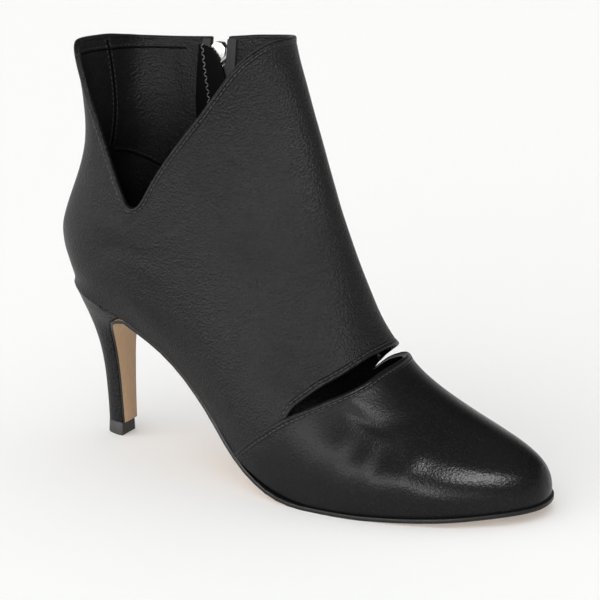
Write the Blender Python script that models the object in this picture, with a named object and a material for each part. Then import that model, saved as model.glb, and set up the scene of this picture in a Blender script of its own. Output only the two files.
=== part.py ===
"""Black leather cut-out ankle boot for the right foot, on a slim heel.

Metres. +X runs from heel to toe, +Y to the inner (zip) side, +Z up. The origin is the
centre of the heel's top piece, on the floor.
"""
import math

import bmesh
import bpy
import numpy as np
from mathutils import Vector

MM = 0.001

# Driving sizes of the boot
FOOT_LENGTH = 224 * MM          # seam of upper and sole, heel back to toe tip
BALL_WIDTH = 78 * MM            # seam of upper and sole across the ball
SEAT_HEIGHT = 72 * MM           # back of the heel seat over the floor
BOOT_HEIGHT = 186 * MM          # front of the collar over the floor
TOE_SPRING = 4.4 * MM           # rise of the toe tip
HEEL_SET_IN = 19.5 * MM         # centre of the top piece in from the heel back
SEAT_LENGTH = 34 * MM           # heel back to the lip of the heel

WALL = 2.0 * MM                 # leather and lining together
SEAM_LAP = 0.9 * MM             # vamp edge standing over the quarter
GAP = 0.3 * MM                  # clearance between neighbours

SOLE_THICKNESS = 1.7 * MM       # under the forefoot
WAIST_THICKNESS = 1.6 * MM      # under the arch
BREAST_THICKNESS = 1.1 * MM     # down the front of the heel
SOLE_EDGE = 0.8 * MM            # sole beyond the upper at the forefoot
WAIST_INSET = 0.5 * MM          # sole in from the upper's edge under the arch
BREAST_START = 2 * MM           # sole's turn down the heel, ahead of the heel's lip
INSOLE_THICKNESS = 2.4 * MM
INSOLE_MARGIN = 0.8 * MM        # insole's edge in from the wall
INSOLE_BEVEL = 0.7 * MM         # top of the insole in from its underside
TIP_WIDTH = 0.2 * MM            # half width left at the very end of a sole or insole

TOP_PIECE_HEIGHT = 6 * MM
TOP_PIECE_LENGTH = 9.7 * MM
TOP_PIECE_WIDTH = 10 * MM
TOP_PIECE_FLARE = 0.3 * MM      # top piece beyond the heel tip

NOTCH_DEPTH = 68 * MM           # V cut in the outer side of the collar
SLIT_HEIGHT = 8 * MM            # cut-out across the instep

ZIP_OPENING = 9 * MM            # clear width between the leather edges
ZIP_TAPE_THICKNESS = 0.7 * MM
ZIP_TAPE_MARGIN = 4 * MM        # tape behind each leather edge
CHAIN_WIDTH = 4.6 * MM
CHAIN_THICKNESS = 1.6 * MM
SLIDER_LENGTH = 9 * MM
SLIDER_WIDTH = 7 * MM
SLIDER_THICKNESS = 3.6 * MM
SLIDER_TOP = 0.8 * MM           # slider's face over the leather
SLIDER_DROP = 1.0 * MM          # slider under the collar
SLIDER_CORNER = 2.1 * MM        # slanted corners of the slider
SLIDER_SHOULDER = 0.9 * MM      # widest place of the slider, under its middle
BAIL_WALL = 0.8 * MM
BAIL_WIDTH = 1.6 * MM
HINGE_HEIGHT = 1.6 * MM         # hinge of the pull over the slider's face
PIN_SIZE = 0.8 * MM             # crossbar of the pull inside the bail
PULL_LENGTH = 20 * MM
PULL_WIDTH = 5.4 * MM
PULL_THICKNESS = 1.0 * MM
PULL_END = 2.2 * MM             # length of the pull's rounded end
TAPE_DROP = 0.6 * MM            # tape under the collar
TAPE_BELOW = 3 * MM             # tape past the lower end of the opening
CHAIN_START = 1 * MM            # chain up from the lower end of the opening
GUARD_THICKNESS = 1.0 * MM
GUARD_WIDTH = 15.5 * MM
GUARD_SET = 9.5 * MM            # guard's sewn edge behind the middle of the zip
GUARD_DROP = 2.4 * MM           # guard under the collar
GUARD_BELOW = 5 * MM            # guard past the lower end of the opening

# Lowest line of the upper. along: share of FOOT_LENGTH from the heel back;
# rise: share of the way from the ball up to the seat; spring: share of TOE_SPRING
BOTTOM = (
    ("along", "rise", "spring"),
    (0.00, 1.000, 0.0),
    (0.05, 0.965, 0.0),
    (0.10, 0.915, 0.0),
    (0.16, 0.838, 0.0),
    (0.22, 0.735, 0.0),
    (0.29, 0.585, 0.0),
    (0.36, 0.400, 0.0),
    (0.43, 0.205, 0.0),
    (0.49, 0.085, 0.0),
    (0.55, 0.018, 0.0),
    (0.60, 0.000, 0.0),
    (0.68, 0.000, 0.0),
    (0.77, 0.000, 0.18),
    (0.83, 0.000, 0.38),
    (0.89, 0.000, 0.61),
    (0.95, 0.000, 0.85),
    (1.00, 0.000, 1.0),
)

# One row for each section of the last, toe tip to collar. A section runs from its foot on the
# seam line, or on the back line, to its crown on the ridge of toe, instep and shin.
# foot, crown and bow: shares of FOOT_LENGTH; lift: share of the shaft over the seat;
# top and dip: shares of BOOT_HEIGHT; foot_out to inner: sideways, shares of BALL_WIDTH;
# belly: share of the section's height that is widest; full and square: squareness over and under it
SECTIONS = (
    ("foot", "lift", "foot_out", "foot_in", "crown", "top", "ridge", "outer", "inner",
     "belly", "full", "square", "bow", "dip"),
    (1.000, 0.00, 0.055, 0.055, 0.986, 0.097, 0.055, 0.055, 0.055, 0.30, 0.00, 0.00, 0.006, 0),
    (0.997, 0.00, -0.018, 0.120, 0.981, 0.107, 0.055, -0.028, 0.130, 0.30, 0.02, 0.00, 0.005, 0),
    (0.986, 0.00, -0.092, 0.186, 0.966, 0.121, 0.055, -0.107, 0.197, 0.30, 0.03, 0.00, 0.003, 0),
    (0.960, 0.00, -0.183, 0.257, 0.936, 0.139, 0.055, -0.203, 0.268, 0.30, 0.02, 0.00, 0.001, 0),
    (0.920, 0.00, -0.275, 0.333, 0.893, 0.161, 0.050, -0.300, 0.344, 0.28, 0.00, 0.00, 0, 0),
    (0.863, 0.00, -0.378, 0.410, 0.835, 0.192, 0.045, -0.405, 0.418, 0.26, -0.03, 0.00, 0, 0),
    (0.792, 0.00, -0.452, 0.455, 0.773, 0.232, 0.040, -0.480, 0.465, 0.25, -0.05, 0.00, 0, 0),
    (0.712, 0.00, -0.503, 0.475, 0.717, 0.280, 0.035, -0.528, 0.485, 0.25, -0.06, 0.00, 0, 0),
    (0.633, 0.00, -0.522, 0.460, 0.684, 0.328, 0.030, -0.545, 0.472, 0.26, -0.06, 0.00, 0, 0),
    (0.544, 0.00, -0.510, 0.395, 0.655, 0.385, 0.025, -0.535, 0.435, 0.28, -0.06, 0.00, 0, 0),
    (0.456, 0.00, -0.440, 0.275, 0.634, 0.447, 0.020, -0.495, 0.395, 0.30, -0.05, 0.00, 0, 0),
    (0.358, 0.00, -0.325, 0.190, 0.612, 0.512, 0.010, -0.440, 0.365, 0.33, -0.03, 0.00, 0, 0),
    (0.261, 0.00, -0.260, 0.210, 0.594, 0.570, 0.005, -0.405, 0.360, 0.36, -0.02, 0.00, 0, 0),
    (0.164, 0.00, -0.260, 0.260, 0.578, 0.622, 0.0, -0.390, 0.365, 0.38, -0.01, 0.00, 0, 0),
    (0.085, 0.00, -0.246, 0.246, 0.567, 0.662, 0.0, -0.385, 0.370, 0.40, 0.00, 0.00, 0, 0),
    (0.037, 0.00, -0.186, 0.186, 0.560, 0.688, 0.0, -0.385, 0.375, 0.41, 0.00, 0.00, 0, 0),
    (0.010, 0.00, -0.097, 0.097, 0.556, 0.704, 0.0, -0.385, 0.378, 0.42, 0.00, 0.00, 0, 0),
    (0.000, 0.00, 0.000, 0.000, 0.553, 0.715, 0.0, -0.385, 0.380, 0.42, 0.00, 0.00, 0, 0),
    (-0.018, 0.10, 0.000, 0.000, 0.546, 0.742, 0.0, -0.385, 0.380, 0.42, 0.00, 0.00, 0, 0),
    (-0.022, 0.21, 0.000, 0.000, 0.534, 0.785, 0.0, -0.382, 0.380, 0.42, 0.00, 0.00, 0, 0),
    (0.015, 0.38, 0.000, 0.000, 0.519, 0.836, 0.0, -0.378, 0.375, 0.43, 0.00, 0.02, 0, 0),
    (0.065, 0.56, 0.000, 0.000, 0.503, 0.893, 0.0, -0.390, 0.370, 0.44, 0.00, 0.12, 0, 0.004),
    (0.080, 0.76, 0.000, 0.000, 0.487, 0.945, 0.0, -0.420, 0.370, 0.45, 0.01, 0.19, 0, 0.012),
    (0.082, 0.955, 0.000, 0.000, 0.476, 0.992, 0.0, -0.452, 0.372, 0.45, 0.02, 0.27, 0, 0.0145),
)
HEEL_ROW = 17                   # section that closes at the heel back
COLLAR_ROW = 23
INNER_SQUARE = 0.4              # squareness of the inner side, share of the outer side's
HEEL_EASE = 0.6                 # sections between the samples that round the heel's corner
HEEL_EASE_ROWS = 5              # sections either side of the heel back that are rounded
HEEL_HOLD = 0.40                # share of a section's height that keeps to the seam line
SOLE_THIN_AT = 0.30             # share of FOOT_LENGTH where the sole reaches its waist
SOLE_THICK_AT = 0.58            # share of FOOT_LENGTH where the sole is at full thickness
BREAST_RINGS = 8                # heel rings over which the sole thins down the breast
LAP_ROWS = 0.9                  # sections over which the vamp rises to its lapped edge
NOTCH_FLOOR = 0.3               # sections over the heel back that the V cut never reaches
ZIP_SWING = 0.3                 # widest search for the zip either side of its middle
MEASURE_STEP = 0.02             # step in section or across where a direction is measured
TOE_MEASURE = 0.07              # section nearest the toe tip that gives a direction
ROW_MEASURE = 0.5               # step in section where a row's height is measured
HALVINGS = 30                   # halvings of a search

# Edge of the vamp: across from -1, outer seam, over 0, the ridge, to 1, inner seam
VAMP_EDGE = (
    ("across", "section"),
    (-1.00, 10.15),
    (-0.81, 9.86),
    (-0.705, 9.50),
    (-0.63, 9.12),
    (-0.50, 8.55),
    (-0.32, 7.90),
    (-0.19, 7.60),
    (-0.09, 7.40),
    (0.03, 7.34),
    (0.20, 7.60),
    (0.36, 8.15),
    (0.48, 8.64),
    (0.58, 9.05),
    (0.78, 9.75),
    (1.00, 10.10),
)

# Opening of the slit over the vamp edge, share of SLIT_HEIGHT
SLIT = (
    ("across", "open"),
    (-0.705, 0.00),
    (-0.69, 0.28),
    (-0.66, 0.48),
    (-0.60, 0.68),
    (-0.49, 0.90),
    (-0.32, 1.00),
    (-0.10, 0.92),
    (0.00, 0.88),
    (0.20, 0.72),
    (0.40, 0.48),
    (0.52, 0.26),
    (0.58, 0.00),
)

# Depth of the V cut under the collar, share of NOTCH_DEPTH
NOTCH = (
    ("across", "depth"),
    (-1.000, 0.003),
    (-0.860, 0.004),
    (-0.820, 0.014),
    (-0.795, 0.053),
    (-0.775, 0.125),
    (-0.748, 0.256),
    (-0.715, 0.407),
    (-0.680, 0.552),
    (-0.635, 0.672),
    (-0.589, 0.778),
    (-0.544, 0.893),
    (-0.528, 0.935),
    (-0.515, 0.968),
    (-0.500, 0.985),
    (-0.487, 0.961),
    (-0.475, 0.908),
    (-0.461, 0.830),
    (-0.447, 0.700),
    (-0.424, 0.590),
    (-0.400, 0.502),
    (-0.350, 0.348),
    (-0.309, 0.242),
    (-0.257, 0.137),
    (-0.195, 0.060),
    (-0.113, 0.010),
    (-0.060, 0.000),
    (0.380, 0.000),
    (0.450, 0.009),
    (0.500, 0.016),
    (0.600, 0.026),
    (0.700, 0.034),
    (0.770, 0.035),
    (0.850, 0.027),
    (0.920, 0.018),
    (1.000, 0.003),
)

# Free edge of the guard under its rounded top. down: under the top; forward: from the sewn
# edge; both are shares of GUARD_WIDTH
GUARD_EDGE = (
    ("down", "forward"),
    (0.00, 0.06),
    (0.04, 0.24),
    (0.10, 0.40),
    (0.22, 0.56),
    (0.39, 0.73),
    (0.60, 0.86),
    (0.90, 0.96),
    (1.25, 1.00),
)

# Columns of the upper from the ridge to the seam, the same on both sides; the zip's are added
COLUMNS = (0, 0.04, 0.08, 0.12, 0.165, 0.21, 0.255, 0.30, 0.345, 0.385, 0.45, 0.475, 0.4875,
           0.5125, 0.53, 0.615, 0.66, 0.705, 0.735, 0.765, 0.79, 0.815, 0.84, 0.88, 0.93, 1.0)
ZIP_ACROSS = 0.50
ZIP_MARKS = 40
VAMP_ROWS = 12
QUARTER_ROWS = 14
SHAFT_ROWS = 12
SOLE_ROWS = 46
INSOLE_ROWS = 40
SEAM_ROWS = 120
HEEL_RINGS = 16
HEEL_STEPS = 24
TOP_PIECE_STEPS = 20
TAPE_ROWS = 16
TAPE_COLUMNS = 8
GUARD_ROWS = 6
GUARD_COLUMNS = 4
PULL_STEPS = 6

# Heel from its tip up to the seat. up_back, up_front: height shares; back, front, width:
# shares of the way from the top piece's size to the seat's
HEEL = (
    ("up_back", "back", "up_front", "front", "width"),
    (0.000, 0.000, 0.000, 0.000, 0.000),
    (0.125, 0.017, 0.150, -0.035, 0.023),
    (0.270, 0.058, 0.320, -0.065, 0.053),
    (0.395, 0.113, 0.465, -0.095, 0.095),
    (0.515, 0.208, 0.610, -0.135, 0.155),
    (0.625, 0.345, 0.715, -0.160, 0.235),
    (0.730, 0.520, 0.800, -0.130, 0.350),
    (0.830, 0.700, 0.872, 0.010, 0.520),
    (0.920, 0.865, 0.935, 0.290, 0.740),
    (1.000, 1.000, 1.000, 1.000, 1.000),
)

# Finishes: name, colour, roughness, metal
LEATHER = ("black_leather", (0.012, 0.012, 0.013, 1), 0.42, 0)
HEEL_LEATHER = ("heel_leather", (0.012, 0.012, 0.013, 1), 0.38, 0)
SOLE_TAN = ("outsole_leather", (0.40, 0.29, 0.19, 1), 0.6, 0)
LINING = ("insole_lining", (0.010, 0.010, 0.011, 1), 0.7, 0)
GUARD = ("guard_lining", (0.010, 0.010, 0.011, 1), 0.55, 0)
RUBBER = ("top_piece_rubber", (0.015, 0.015, 0.015, 1), 0.6, 0)
NICKEL = ("zip_metal", (0.62, 0.62, 0.60, 1), 0.25, 1)
TAPE = ("zip_tape", (0.008, 0.008, 0.008, 1), 0.85, 0)
EDGE_ANGLE = 35                 # degrees, corners shaded as edges
UPPER_EDGE_ANGLE = 50


def slopes(xs, ys, steady):
    """Tangents of a smooth curve through points; steady ones never overshoot."""
    rise = [(ys[i + 1] - ys[i]) / (xs[i + 1] - xs[i]) for i in range(len(xs) - 1)]
    out = [0.0] * len(xs)
    for i in range(1, len(xs) - 1):
        before, after = rise[i - 1], rise[i]
        share = (xs[i] - xs[i - 1]) / (xs[i + 1] - xs[i - 1])
        out[i] = before * (1 - share) + after * share
        if steady and before * after <= 0:
            out[i] = 0.0
        elif steady:
            out[i] = 2 * before * after / (before + after)
    out[0] = rise[0] if steady else 1.5 * rise[0] - 0.5 * out[1]
    out[-1] = rise[-1] if steady else 1.5 * rise[-1] - 0.5 * out[-2]
    return out


def between(xs, ys, x, steady=False):
    """Height at x of the smooth curve through the points."""
    x = min(max(x, xs[0]), xs[-1])
    i = 0
    while i < len(xs) - 2 and x > xs[i + 1]:
        i += 1
    m = slopes(xs, ys, steady)
    width = xs[i + 1] - xs[i]
    t = (x - xs[i]) / width
    return ((1 + 2 * t) * (1 - t) ** 2 * ys[i] + t * (1 - t) ** 2 * width * m[i]
            + t * t * (3 - 2 * t) * ys[i + 1] + t * t * (t - 1) * width * m[i + 1])


def column(table, name):
    """Values of one named column."""
    place = table[0].index(name)
    return [row[place] for row in table[1:]]


def bottom(x):
    """Height of the upper's lowest line over the floor."""
    along = (x + HEEL_SET_IN) / FOOT_LENGTH
    base = SOLE_THICKNESS + GAP
    shares = column(BOTTOM, "along")
    rise = between(shares, column(BOTTOM, "rise"), along, True)
    spring = between(shares, column(BOTTOM, "spring"), along, True)
    return base + rise * (SEAT_HEIGHT - base) + spring * TOE_SPRING


ROW_NUMBERS = list(range(COLLAR_ROW + 1))
SECTION_CACHE = {}


def section(s):
    """Measures of the section at s, read between the table's rows."""
    key = round(s, 7)
    if key not in SECTION_CACHE:
        SECTION_CACHE[key] = {name: between(ROW_NUMBERS, column(SECTIONS, name), s)
                              for name in SECTIONS[0]}
    return SECTION_CACHE[key]


def foot_point(s):
    """Side view place of a section's foot: on the seam line, then up the back line."""
    row = section(s)
    x = row["foot"] * FOOT_LENGTH - HEEL_SET_IN
    if s < HEEL_ROW:
        return np.array([x, bottom(x)])
    return np.array([x, SEAT_HEIGHT + row["lift"] * (BOOT_HEIGHT - SEAT_HEIGHT)])


def eased_foot(s):
    """Foot of a section with the corner at the heel back rounded off, for the wall over it."""
    key = ("eased", round(s, 7))
    if key not in SECTION_CACHE:
        exact = foot_point(s)
        samples = ((-2, 1), (-1, 3), (0, 4), (1, 3), (2, 1))
        total = sum(foot_point(s + HEEL_EASE * k) * weight for k, weight in samples)
        mean = total / sum(weight for _, weight in samples)
        near = max(0.0, 1 - ((s - HEEL_ROW) / HEEL_EASE_ROWS) ** 2) ** 2
        SECTION_CACHE[key] = exact, exact + (mean - exact) * near
    return SECTION_CACHE[key]


def surface(s, across):
    """Point of the upper's outer side: section s, across from -1 outer seam to 1 inner seam."""
    row = section(s)
    outward = across < 0
    side = row["outer"] if outward else row["inner"]
    foot = row["foot_out"] if outward else row["foot_in"]
    if s >= HEEL_ROW:
        foot = row["ridge"]
    crown = np.array([row["crown"] * FOOT_LENGTH - HEEL_SET_IN, row["top"] * BOOT_HEIGHT])
    reach = side - row["ridge"]
    share = (foot - row["ridge"]) / reach if abs(reach) > 1e-9 else 0.0
    low = -math.acos(min(max(share, 0.0), 1.0))
    angle = math.pi / 2 - abs(across) * (math.pi / 2 - low)
    wave = math.sin(2 * angle) ** 2
    if angle >= 0:
        swell = 1 + row["full"] * wave
        up = row["belly"] + (1 - row["belly"]) * math.sin(angle) * swell
    else:
        swell = 1 + row["square"] * (1 if outward else INNER_SQUARE) * wave
        up = row["belly"] * (1 - math.sin(angle) * swell / math.sin(low))
    y = row["ridge"] + reach * math.cos(angle) * swell
    exact, eased = eased_foot(s)
    hold = max(0.0, 1 - up / HEEL_HOLD) ** 2
    foot_xz = eased + (exact - eased) * hold
    x, z = foot_xz + (crown - foot_xz) * up
    hump = 4 * up * (1 - up)
    return np.array([x + row["bow"] * FOOT_LENGTH * hump, y * BALL_WIDTH,
                     z - row["dip"] * BOOT_HEIGHT * hump])


def facing(s, across):
    """Outward direction of the surface on one side of the ridge."""
    s = max(s, TOE_MEASURE)
    s0, s1 = s - MEASURE_STEP, min(s + MEASURE_STEP, COLLAR_ROW)
    a0, a1 = max(across - MEASURE_STEP, -1.0), min(across + MEASURE_STEP, 1.0)
    along = surface(s1, across) - surface(s0, across)
    sideways = surface(s, a1) - surface(s, a0)
    n = np.cross(sideways, along)
    return n / np.linalg.norm(n)


def normal(s, across):
    """Outward direction, shared by both sides where they meet at the toe and up the back."""
    n = facing(s, across)
    if s < 1e-6 or (abs(across) > 1 - 1e-6 and s >= HEEL_ROW):
        n = n + facing(s, -across)
        n[1] = 0.0
    return n / np.linalg.norm(n)


def offset(s, across, out):
    """Point out from the surface along its normal."""
    return surface(s, across) + out * normal(s, across)


def wall_point(s, across, out):
    """Point of the wall; along the seam line it stays level with the insole's underside."""
    if abs(across) < 1 - 1e-6 or s >= HEEL_ROW:
        return offset(s, across, out)
    n = normal(s, across)
    flat = n[:2] / np.linalg.norm(n[:2])
    x, y = surface(s, across)[:2] + out * flat
    return np.array([x, y, bottom(x)])


def vamp_edge(across):
    """Section where the vamp ends."""
    return between(column(VAMP_EDGE, "across"), column(VAMP_EDGE, "section"), across)


def quarter_edge(across):
    """Section where the quarter starts, over the slit."""
    edges = column(SLIT, "across")
    start = vamp_edge(across)
    if across <= edges[0] or across >= edges[-1]:
        return start
    opening = between(edges, column(SLIT, "open"), across, True) * SLIT_HEIGHT
    height = np.linalg.norm(surface(start + ROW_MEASURE, across) - surface(start, across))
    return start + opening * ROW_MEASURE / height


def collar_edge(across):
    """Section where the shaft ends, down the V cut on the outer side."""
    share = between(column(NOTCH, "across"), column(NOTCH, "depth"), across, True)
    if share <= 0:
        return float(COLLAR_ROW)
    level = surface(COLLAR_ROW, across)[2] - share * NOTCH_DEPTH
    low, high = HEEL_ROW + NOTCH_FLOOR, float(COLLAR_ROW)
    for _ in range(HALVINGS):
        middle = (low + high) / 2
        if surface(middle, across)[2] > level:
            high = middle
        else:
            low = middle
    return (low + high) / 2


def arc_at(s, across):
    """Length along the section for one whole measure of across."""
    span = surface(s, across + MEASURE_STEP) - surface(s, across - MEASURE_STEP)
    return float(np.linalg.norm(span)) / (2 * MEASURE_STEP)


ZIP_CACHE = {}


def zip_across(s):
    """Middle of the zip at section s: a straight line, seen from the side, up to the collar."""
    key = round(s, 7)
    if key in ZIP_CACHE:
        return ZIP_CACHE[key]
    foot, top = surface(HEEL_ROW, ZIP_ACROSS), surface(COLLAR_ROW, ZIP_ACROSS)
    low, high = ZIP_ACROSS - ZIP_SWING, ZIP_ACROSS + ZIP_SWING
    for _ in range(HALVINGS):
        middle = (low + high) / 2
        point = surface(s, middle)
        line = foot[0] + (top[0] - foot[0]) * (point[2] - foot[2]) / (top[2] - foot[2])
        if point[0] > line:
            low = middle
        else:
            high = middle
    ZIP_CACHE[key] = (low + high) / 2
    return ZIP_CACHE[key]


def zip_point(s, sideways, out):
    """Point at the zip: sideways towards the back from its middle, out from the surface."""
    middle = zip_across(s)
    return offset(s, middle + sideways / arc_at(s, middle), out)


def shifted(s, across, half):
    """Measure of across on the shaft, where the columns beside the zip follow it."""
    if s <= HEEL_ROW or across <= 0:
        return across
    middle = zip_across(s)
    span = ZIP_OPENING / 2 / arc_at(s, middle)
    marks = (0, ZIP_ACROSS - half, ZIP_ACROSS, ZIP_ACROSS + half, 1)
    return float(np.interp(across, marks, (0, middle - span, middle, middle + span, 1)))


def shell(outer, inner, present):
    """Closed wall between two grids of points, with cells left out where present says no."""
    points, number, faces = [], {}, []

    def index(point):
        key = tuple(round(float(v) * 1e6) for v in point)
        if key not in number:
            number[key] = len(points)
            points.append([float(v) for v in point])
        return number[key]

    rows, columns = len(outer), len(outer[0])
    out = [[index(p) for p in line] for line in outer]
    inn = [[index(p) for p in line] for line in inner]
    edges = {}
    for i in range(rows - 1):
        for j in range(columns - 1):
            if not present(i, j):
                continue
            ring = ((i, j), (i, j + 1), (i + 1, j + 1), (i + 1, j))
            faces.append([out[a][b] for a, b in ring])
            faces.append([inn[a][b] for a, b in reversed(ring)])
            for k in range(4):
                (a, b), (c, d) = ring[k], ring[(k + 1) % 4]
                if out[a][b] == out[c][d]:
                    continue
                key = frozenset((out[a][b], out[c][d]))
                edges.setdefault(key, []).append((out[a][b], out[c][d], inn[c][d], inn[a][b]))
    for walls in edges.values():
        if len(walls) == 1:
            a, b, c, d = walls[0]
            faces.append([b, a, d, c])
    clean = []
    for face in faces:
        ring = [v for k, v in enumerate(face) if v != face[k - 1]]
        if len(ring) > 2:
            clean.append(ring)
    return points, clean


def material(finish):
    name, colour, roughness, metallic = finish
    found = bpy.data.materials.get(name)
    if found:
        return found
    made = bpy.data.materials.new(name)
    made.use_nodes = True
    made.diffuse_color = colour
    shader = made.node_tree.nodes["Principled BSDF"]
    shader.inputs["Base Color"].default_value = colour
    shader.inputs["Roughness"].default_value = roughness
    shader.inputs["Metallic"].default_value = metallic
    return made


def add_solid(name, points, faces, finish, edge_angle=EDGE_ANGLE):
    """Object with its faces turned outward."""
    mesh = bpy.data.meshes.new(name)
    mesh.from_pydata([tuple(p) for p in points], [], faces)
    work = bmesh.new()
    work.from_mesh(mesh)
    bmesh.ops.recalc_face_normals(work, faces=work.faces)
    if work.calc_volume(signed=True) < 0:
        bmesh.ops.reverse_faces(work, faces=work.faces)
    work.to_mesh(mesh)
    work.free()
    mesh.shade_smooth()
    mesh.set_sharp_from_angle(angle=math.radians(edge_angle))
    mesh.materials.append(material(finish))
    made = bpy.data.objects.new(name, mesh)
    bpy.context.scene.collection.objects.link(made)
    return made


def make_upper():
    """Vamp and quarter as one hollow wall, open at collar, notch, slit, zip and underneath."""
    half = ZIP_OPENING / 2 / arc_at(HEEL_ROW, ZIP_ACROSS)
    shares = sorted(set(COLUMNS) | {ZIP_ACROSS - half, ZIP_ACROSS, ZIP_ACROSS + half})
    across = [-v for v in reversed(shares[1:])] + list(shares)
    slit_from, slit_to = column(SLIT, "across")[0], column(SLIT, "across")[-1]
    outer, inner = [], []
    for k in range(VAMP_ROWS + 1):
        rows = []
        for a in across:
            end = vamp_edge(a)
            s = end * k / VAMP_ROWS
            fade = min(max((s - end + LAP_ROWS) / LAP_ROWS, 0.0), 1.0)
            lap = SEAM_LAP * fade * fade * (3 - 2 * fade)
            rows.append((wall_point(s, a, lap), wall_point(s, a, -WALL)))
        outer.append([pair[0] for pair in rows])
        inner.append([pair[1] for pair in rows])
    for k in range(QUARTER_ROWS + SHAFT_ROWS + 1):
        rows = []
        for a in across:
            if k <= QUARTER_ROWS:
                start, end, share = quarter_edge(a), HEEL_ROW, k / QUARTER_ROWS
            else:
                start, end, share = HEEL_ROW, collar_edge(a), (k - QUARTER_ROWS) / SHAFT_ROWS
            s = start + (end - start) * share
            place = shifted(s, a, half)
            rows.append((wall_point(s, place, 0.0), wall_point(s, place, -WALL)))
        outer.append([pair[0] for pair in rows])
        inner.append([pair[1] for pair in rows])
    heel_line = VAMP_ROWS + 1 + QUARTER_ROWS

    def present(i, j):
        middle = (across[j] + across[j + 1]) / 2
        if i == VAMP_ROWS:
            return not slit_from < middle < slit_to
        if i >= heel_line:
            return not abs(middle - ZIP_ACROSS) < half
        return True

    points, faces = shell(outer, inner, present)
    add_solid("upper", points, faces, LEATHER, UPPER_EDGE_ANGLE)


def seam_line(inward, grow=0.0):
    """Plan of the seam line on one side, toe tip to heel back, grown or shrunk."""
    side = 1.0 if inward else -1.0
    line = []
    for k in range(SEAM_ROWS + 1):
        s = HEEL_ROW * k / SEAM_ROWS
        p = surface(s, side)
        n = normal(s, side)
        flat = n[:2] / np.linalg.norm(n[:2])
        line.append((p[0] + grow * flat[0], p[1] + grow * flat[1]))
    return line


def width_at(line, x):
    """Sideways place of a plan line at x."""
    xs = [p[0] for p in line][::-1]
    ys = [p[1] for p in line][::-1]
    return float(np.interp(x, xs, ys))


def strip(path_in, path_out, sides_in, sides_out):
    """Solid sheet whose two faces follow paths in the side view, with straight lines across."""
    points, faces = [], []
    for (x, z), (lo, hi) in zip(path_in, sides_in):
        points += [(x, lo, z), (x, hi, z)]
    count = len(path_in)
    for (x, z), (lo, hi) in zip(path_out, sides_out):
        points += [(x, lo, z), (x, hi, z)]
    for i in range(count - 1):
        a, b = 2 * i, 2 * (count + i)
        faces.append((a, a + 1, a + 3, a + 2))
        faces.append((b, b + 2, b + 3, b + 1))
        faces.append((a, a + 2, b + 2, b))
        faces.append((a + 1, b + 1, b + 3, a + 3))
    last = 2 * (count - 1)
    faces.append((0, 2 * count, 2 * count + 1, 1))
    faces.append((last, last + 1, 2 * count + last + 1, 2 * count + last))
    return points, faces


def heel_rings():
    """Rings of the heel: back x and z, front x and z, half widths outer and inner."""
    tip_z = TOP_PIECE_HEIGHT + GAP
    lip_x = SEAT_LENGTH - HEEL_SET_IN
    back_top = bottom(-HEEL_SET_IN) - GAP
    lip_top = bottom(lip_x) - GAP
    wide_out = -width_at(seam_line(False), lip_x)
    wide_in = width_at(seam_line(True), lip_x)
    half_length, half_width = TOP_PIECE_LENGTH / 2, TOP_PIECE_WIDTH / 2
    last = len(HEEL) - 2
    marks = list(range(last + 1))
    rings = []
    for k in range(HEEL_RINGS):
        t = last * k / (HEEL_RINGS - 1)
        row = {name: between(marks, column(HEEL, name), t) for name in HEEL[0]}
        rings.append({
            "back_x": -half_length - row["back"] * (HEEL_SET_IN - half_length),
            "back_z": tip_z + row["up_back"] * (back_top - tip_z),
            "front_x": half_length + row["front"] * (lip_x - half_length),
            "front_z": tip_z + row["up_front"] * (lip_top - tip_z),
            "out": half_width + row["width"] * (wide_out - half_width),
            "in": half_width + row["width"] * (wide_in - half_width),
        })
    return rings


def make_heel():
    """Leather-covered heel from the top piece to the seat."""
    rings = heel_rings()
    steps = HEEL_STEPS
    lip_x = SEAT_LENGTH - HEEL_SET_IN
    outer_line, inner_line = seam_line(False), seam_line(True)
    grid = []
    for r in rings[:-1]:
        ring = []
        for k in range(steps + 1):
            turn = math.pi * (k / steps - 0.5)
            x = r["front_x"] - (r["front_x"] - r["back_x"]) * math.cos(turn)
            y = math.sin(turn) * (r["in"] if turn > 0 else r["out"])
            share = (x - r["back_x"]) / (r["front_x"] - r["back_x"])
            ring.append((x, y, r["back_z"] + (r["front_z"] - r["back_z"]) * share))
        grid.append(ring)
    top = []
    for k in range(steps + 1):
        turn = math.pi * (k / steps - 0.5)
        x = lip_x - SEAT_LENGTH * math.cos(turn)
        y = width_at(inner_line if turn > 0 else outer_line, x)
        if k == steps // 2:
            y = 0.0
        top.append((x, y, bottom(x) - GAP))
    grid.append(top)
    points = [p for ring in grid for p in ring]
    width = steps + 1
    faces = []
    for i in range(len(grid) - 1):
        for j in range(steps):
            a = i * width + j
            faces.append((a, a + 1, a + 1 + width, a + width))
        a, b = i * width, i * width + steps
        faces.append((b, a, a + width, b + width))
    base = (len(grid) - 1) * width
    for j in range(steps // 2):
        ring = [base + j, base + j + 1, base + steps - j - 1, base + steps - j]
        faces.append([v for k, v in enumerate(ring) if v != ring[k - 1]])
    faces.append(list(range(width))[::-1])
    add_solid("heel", points, faces, HEEL_LEATHER)


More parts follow.
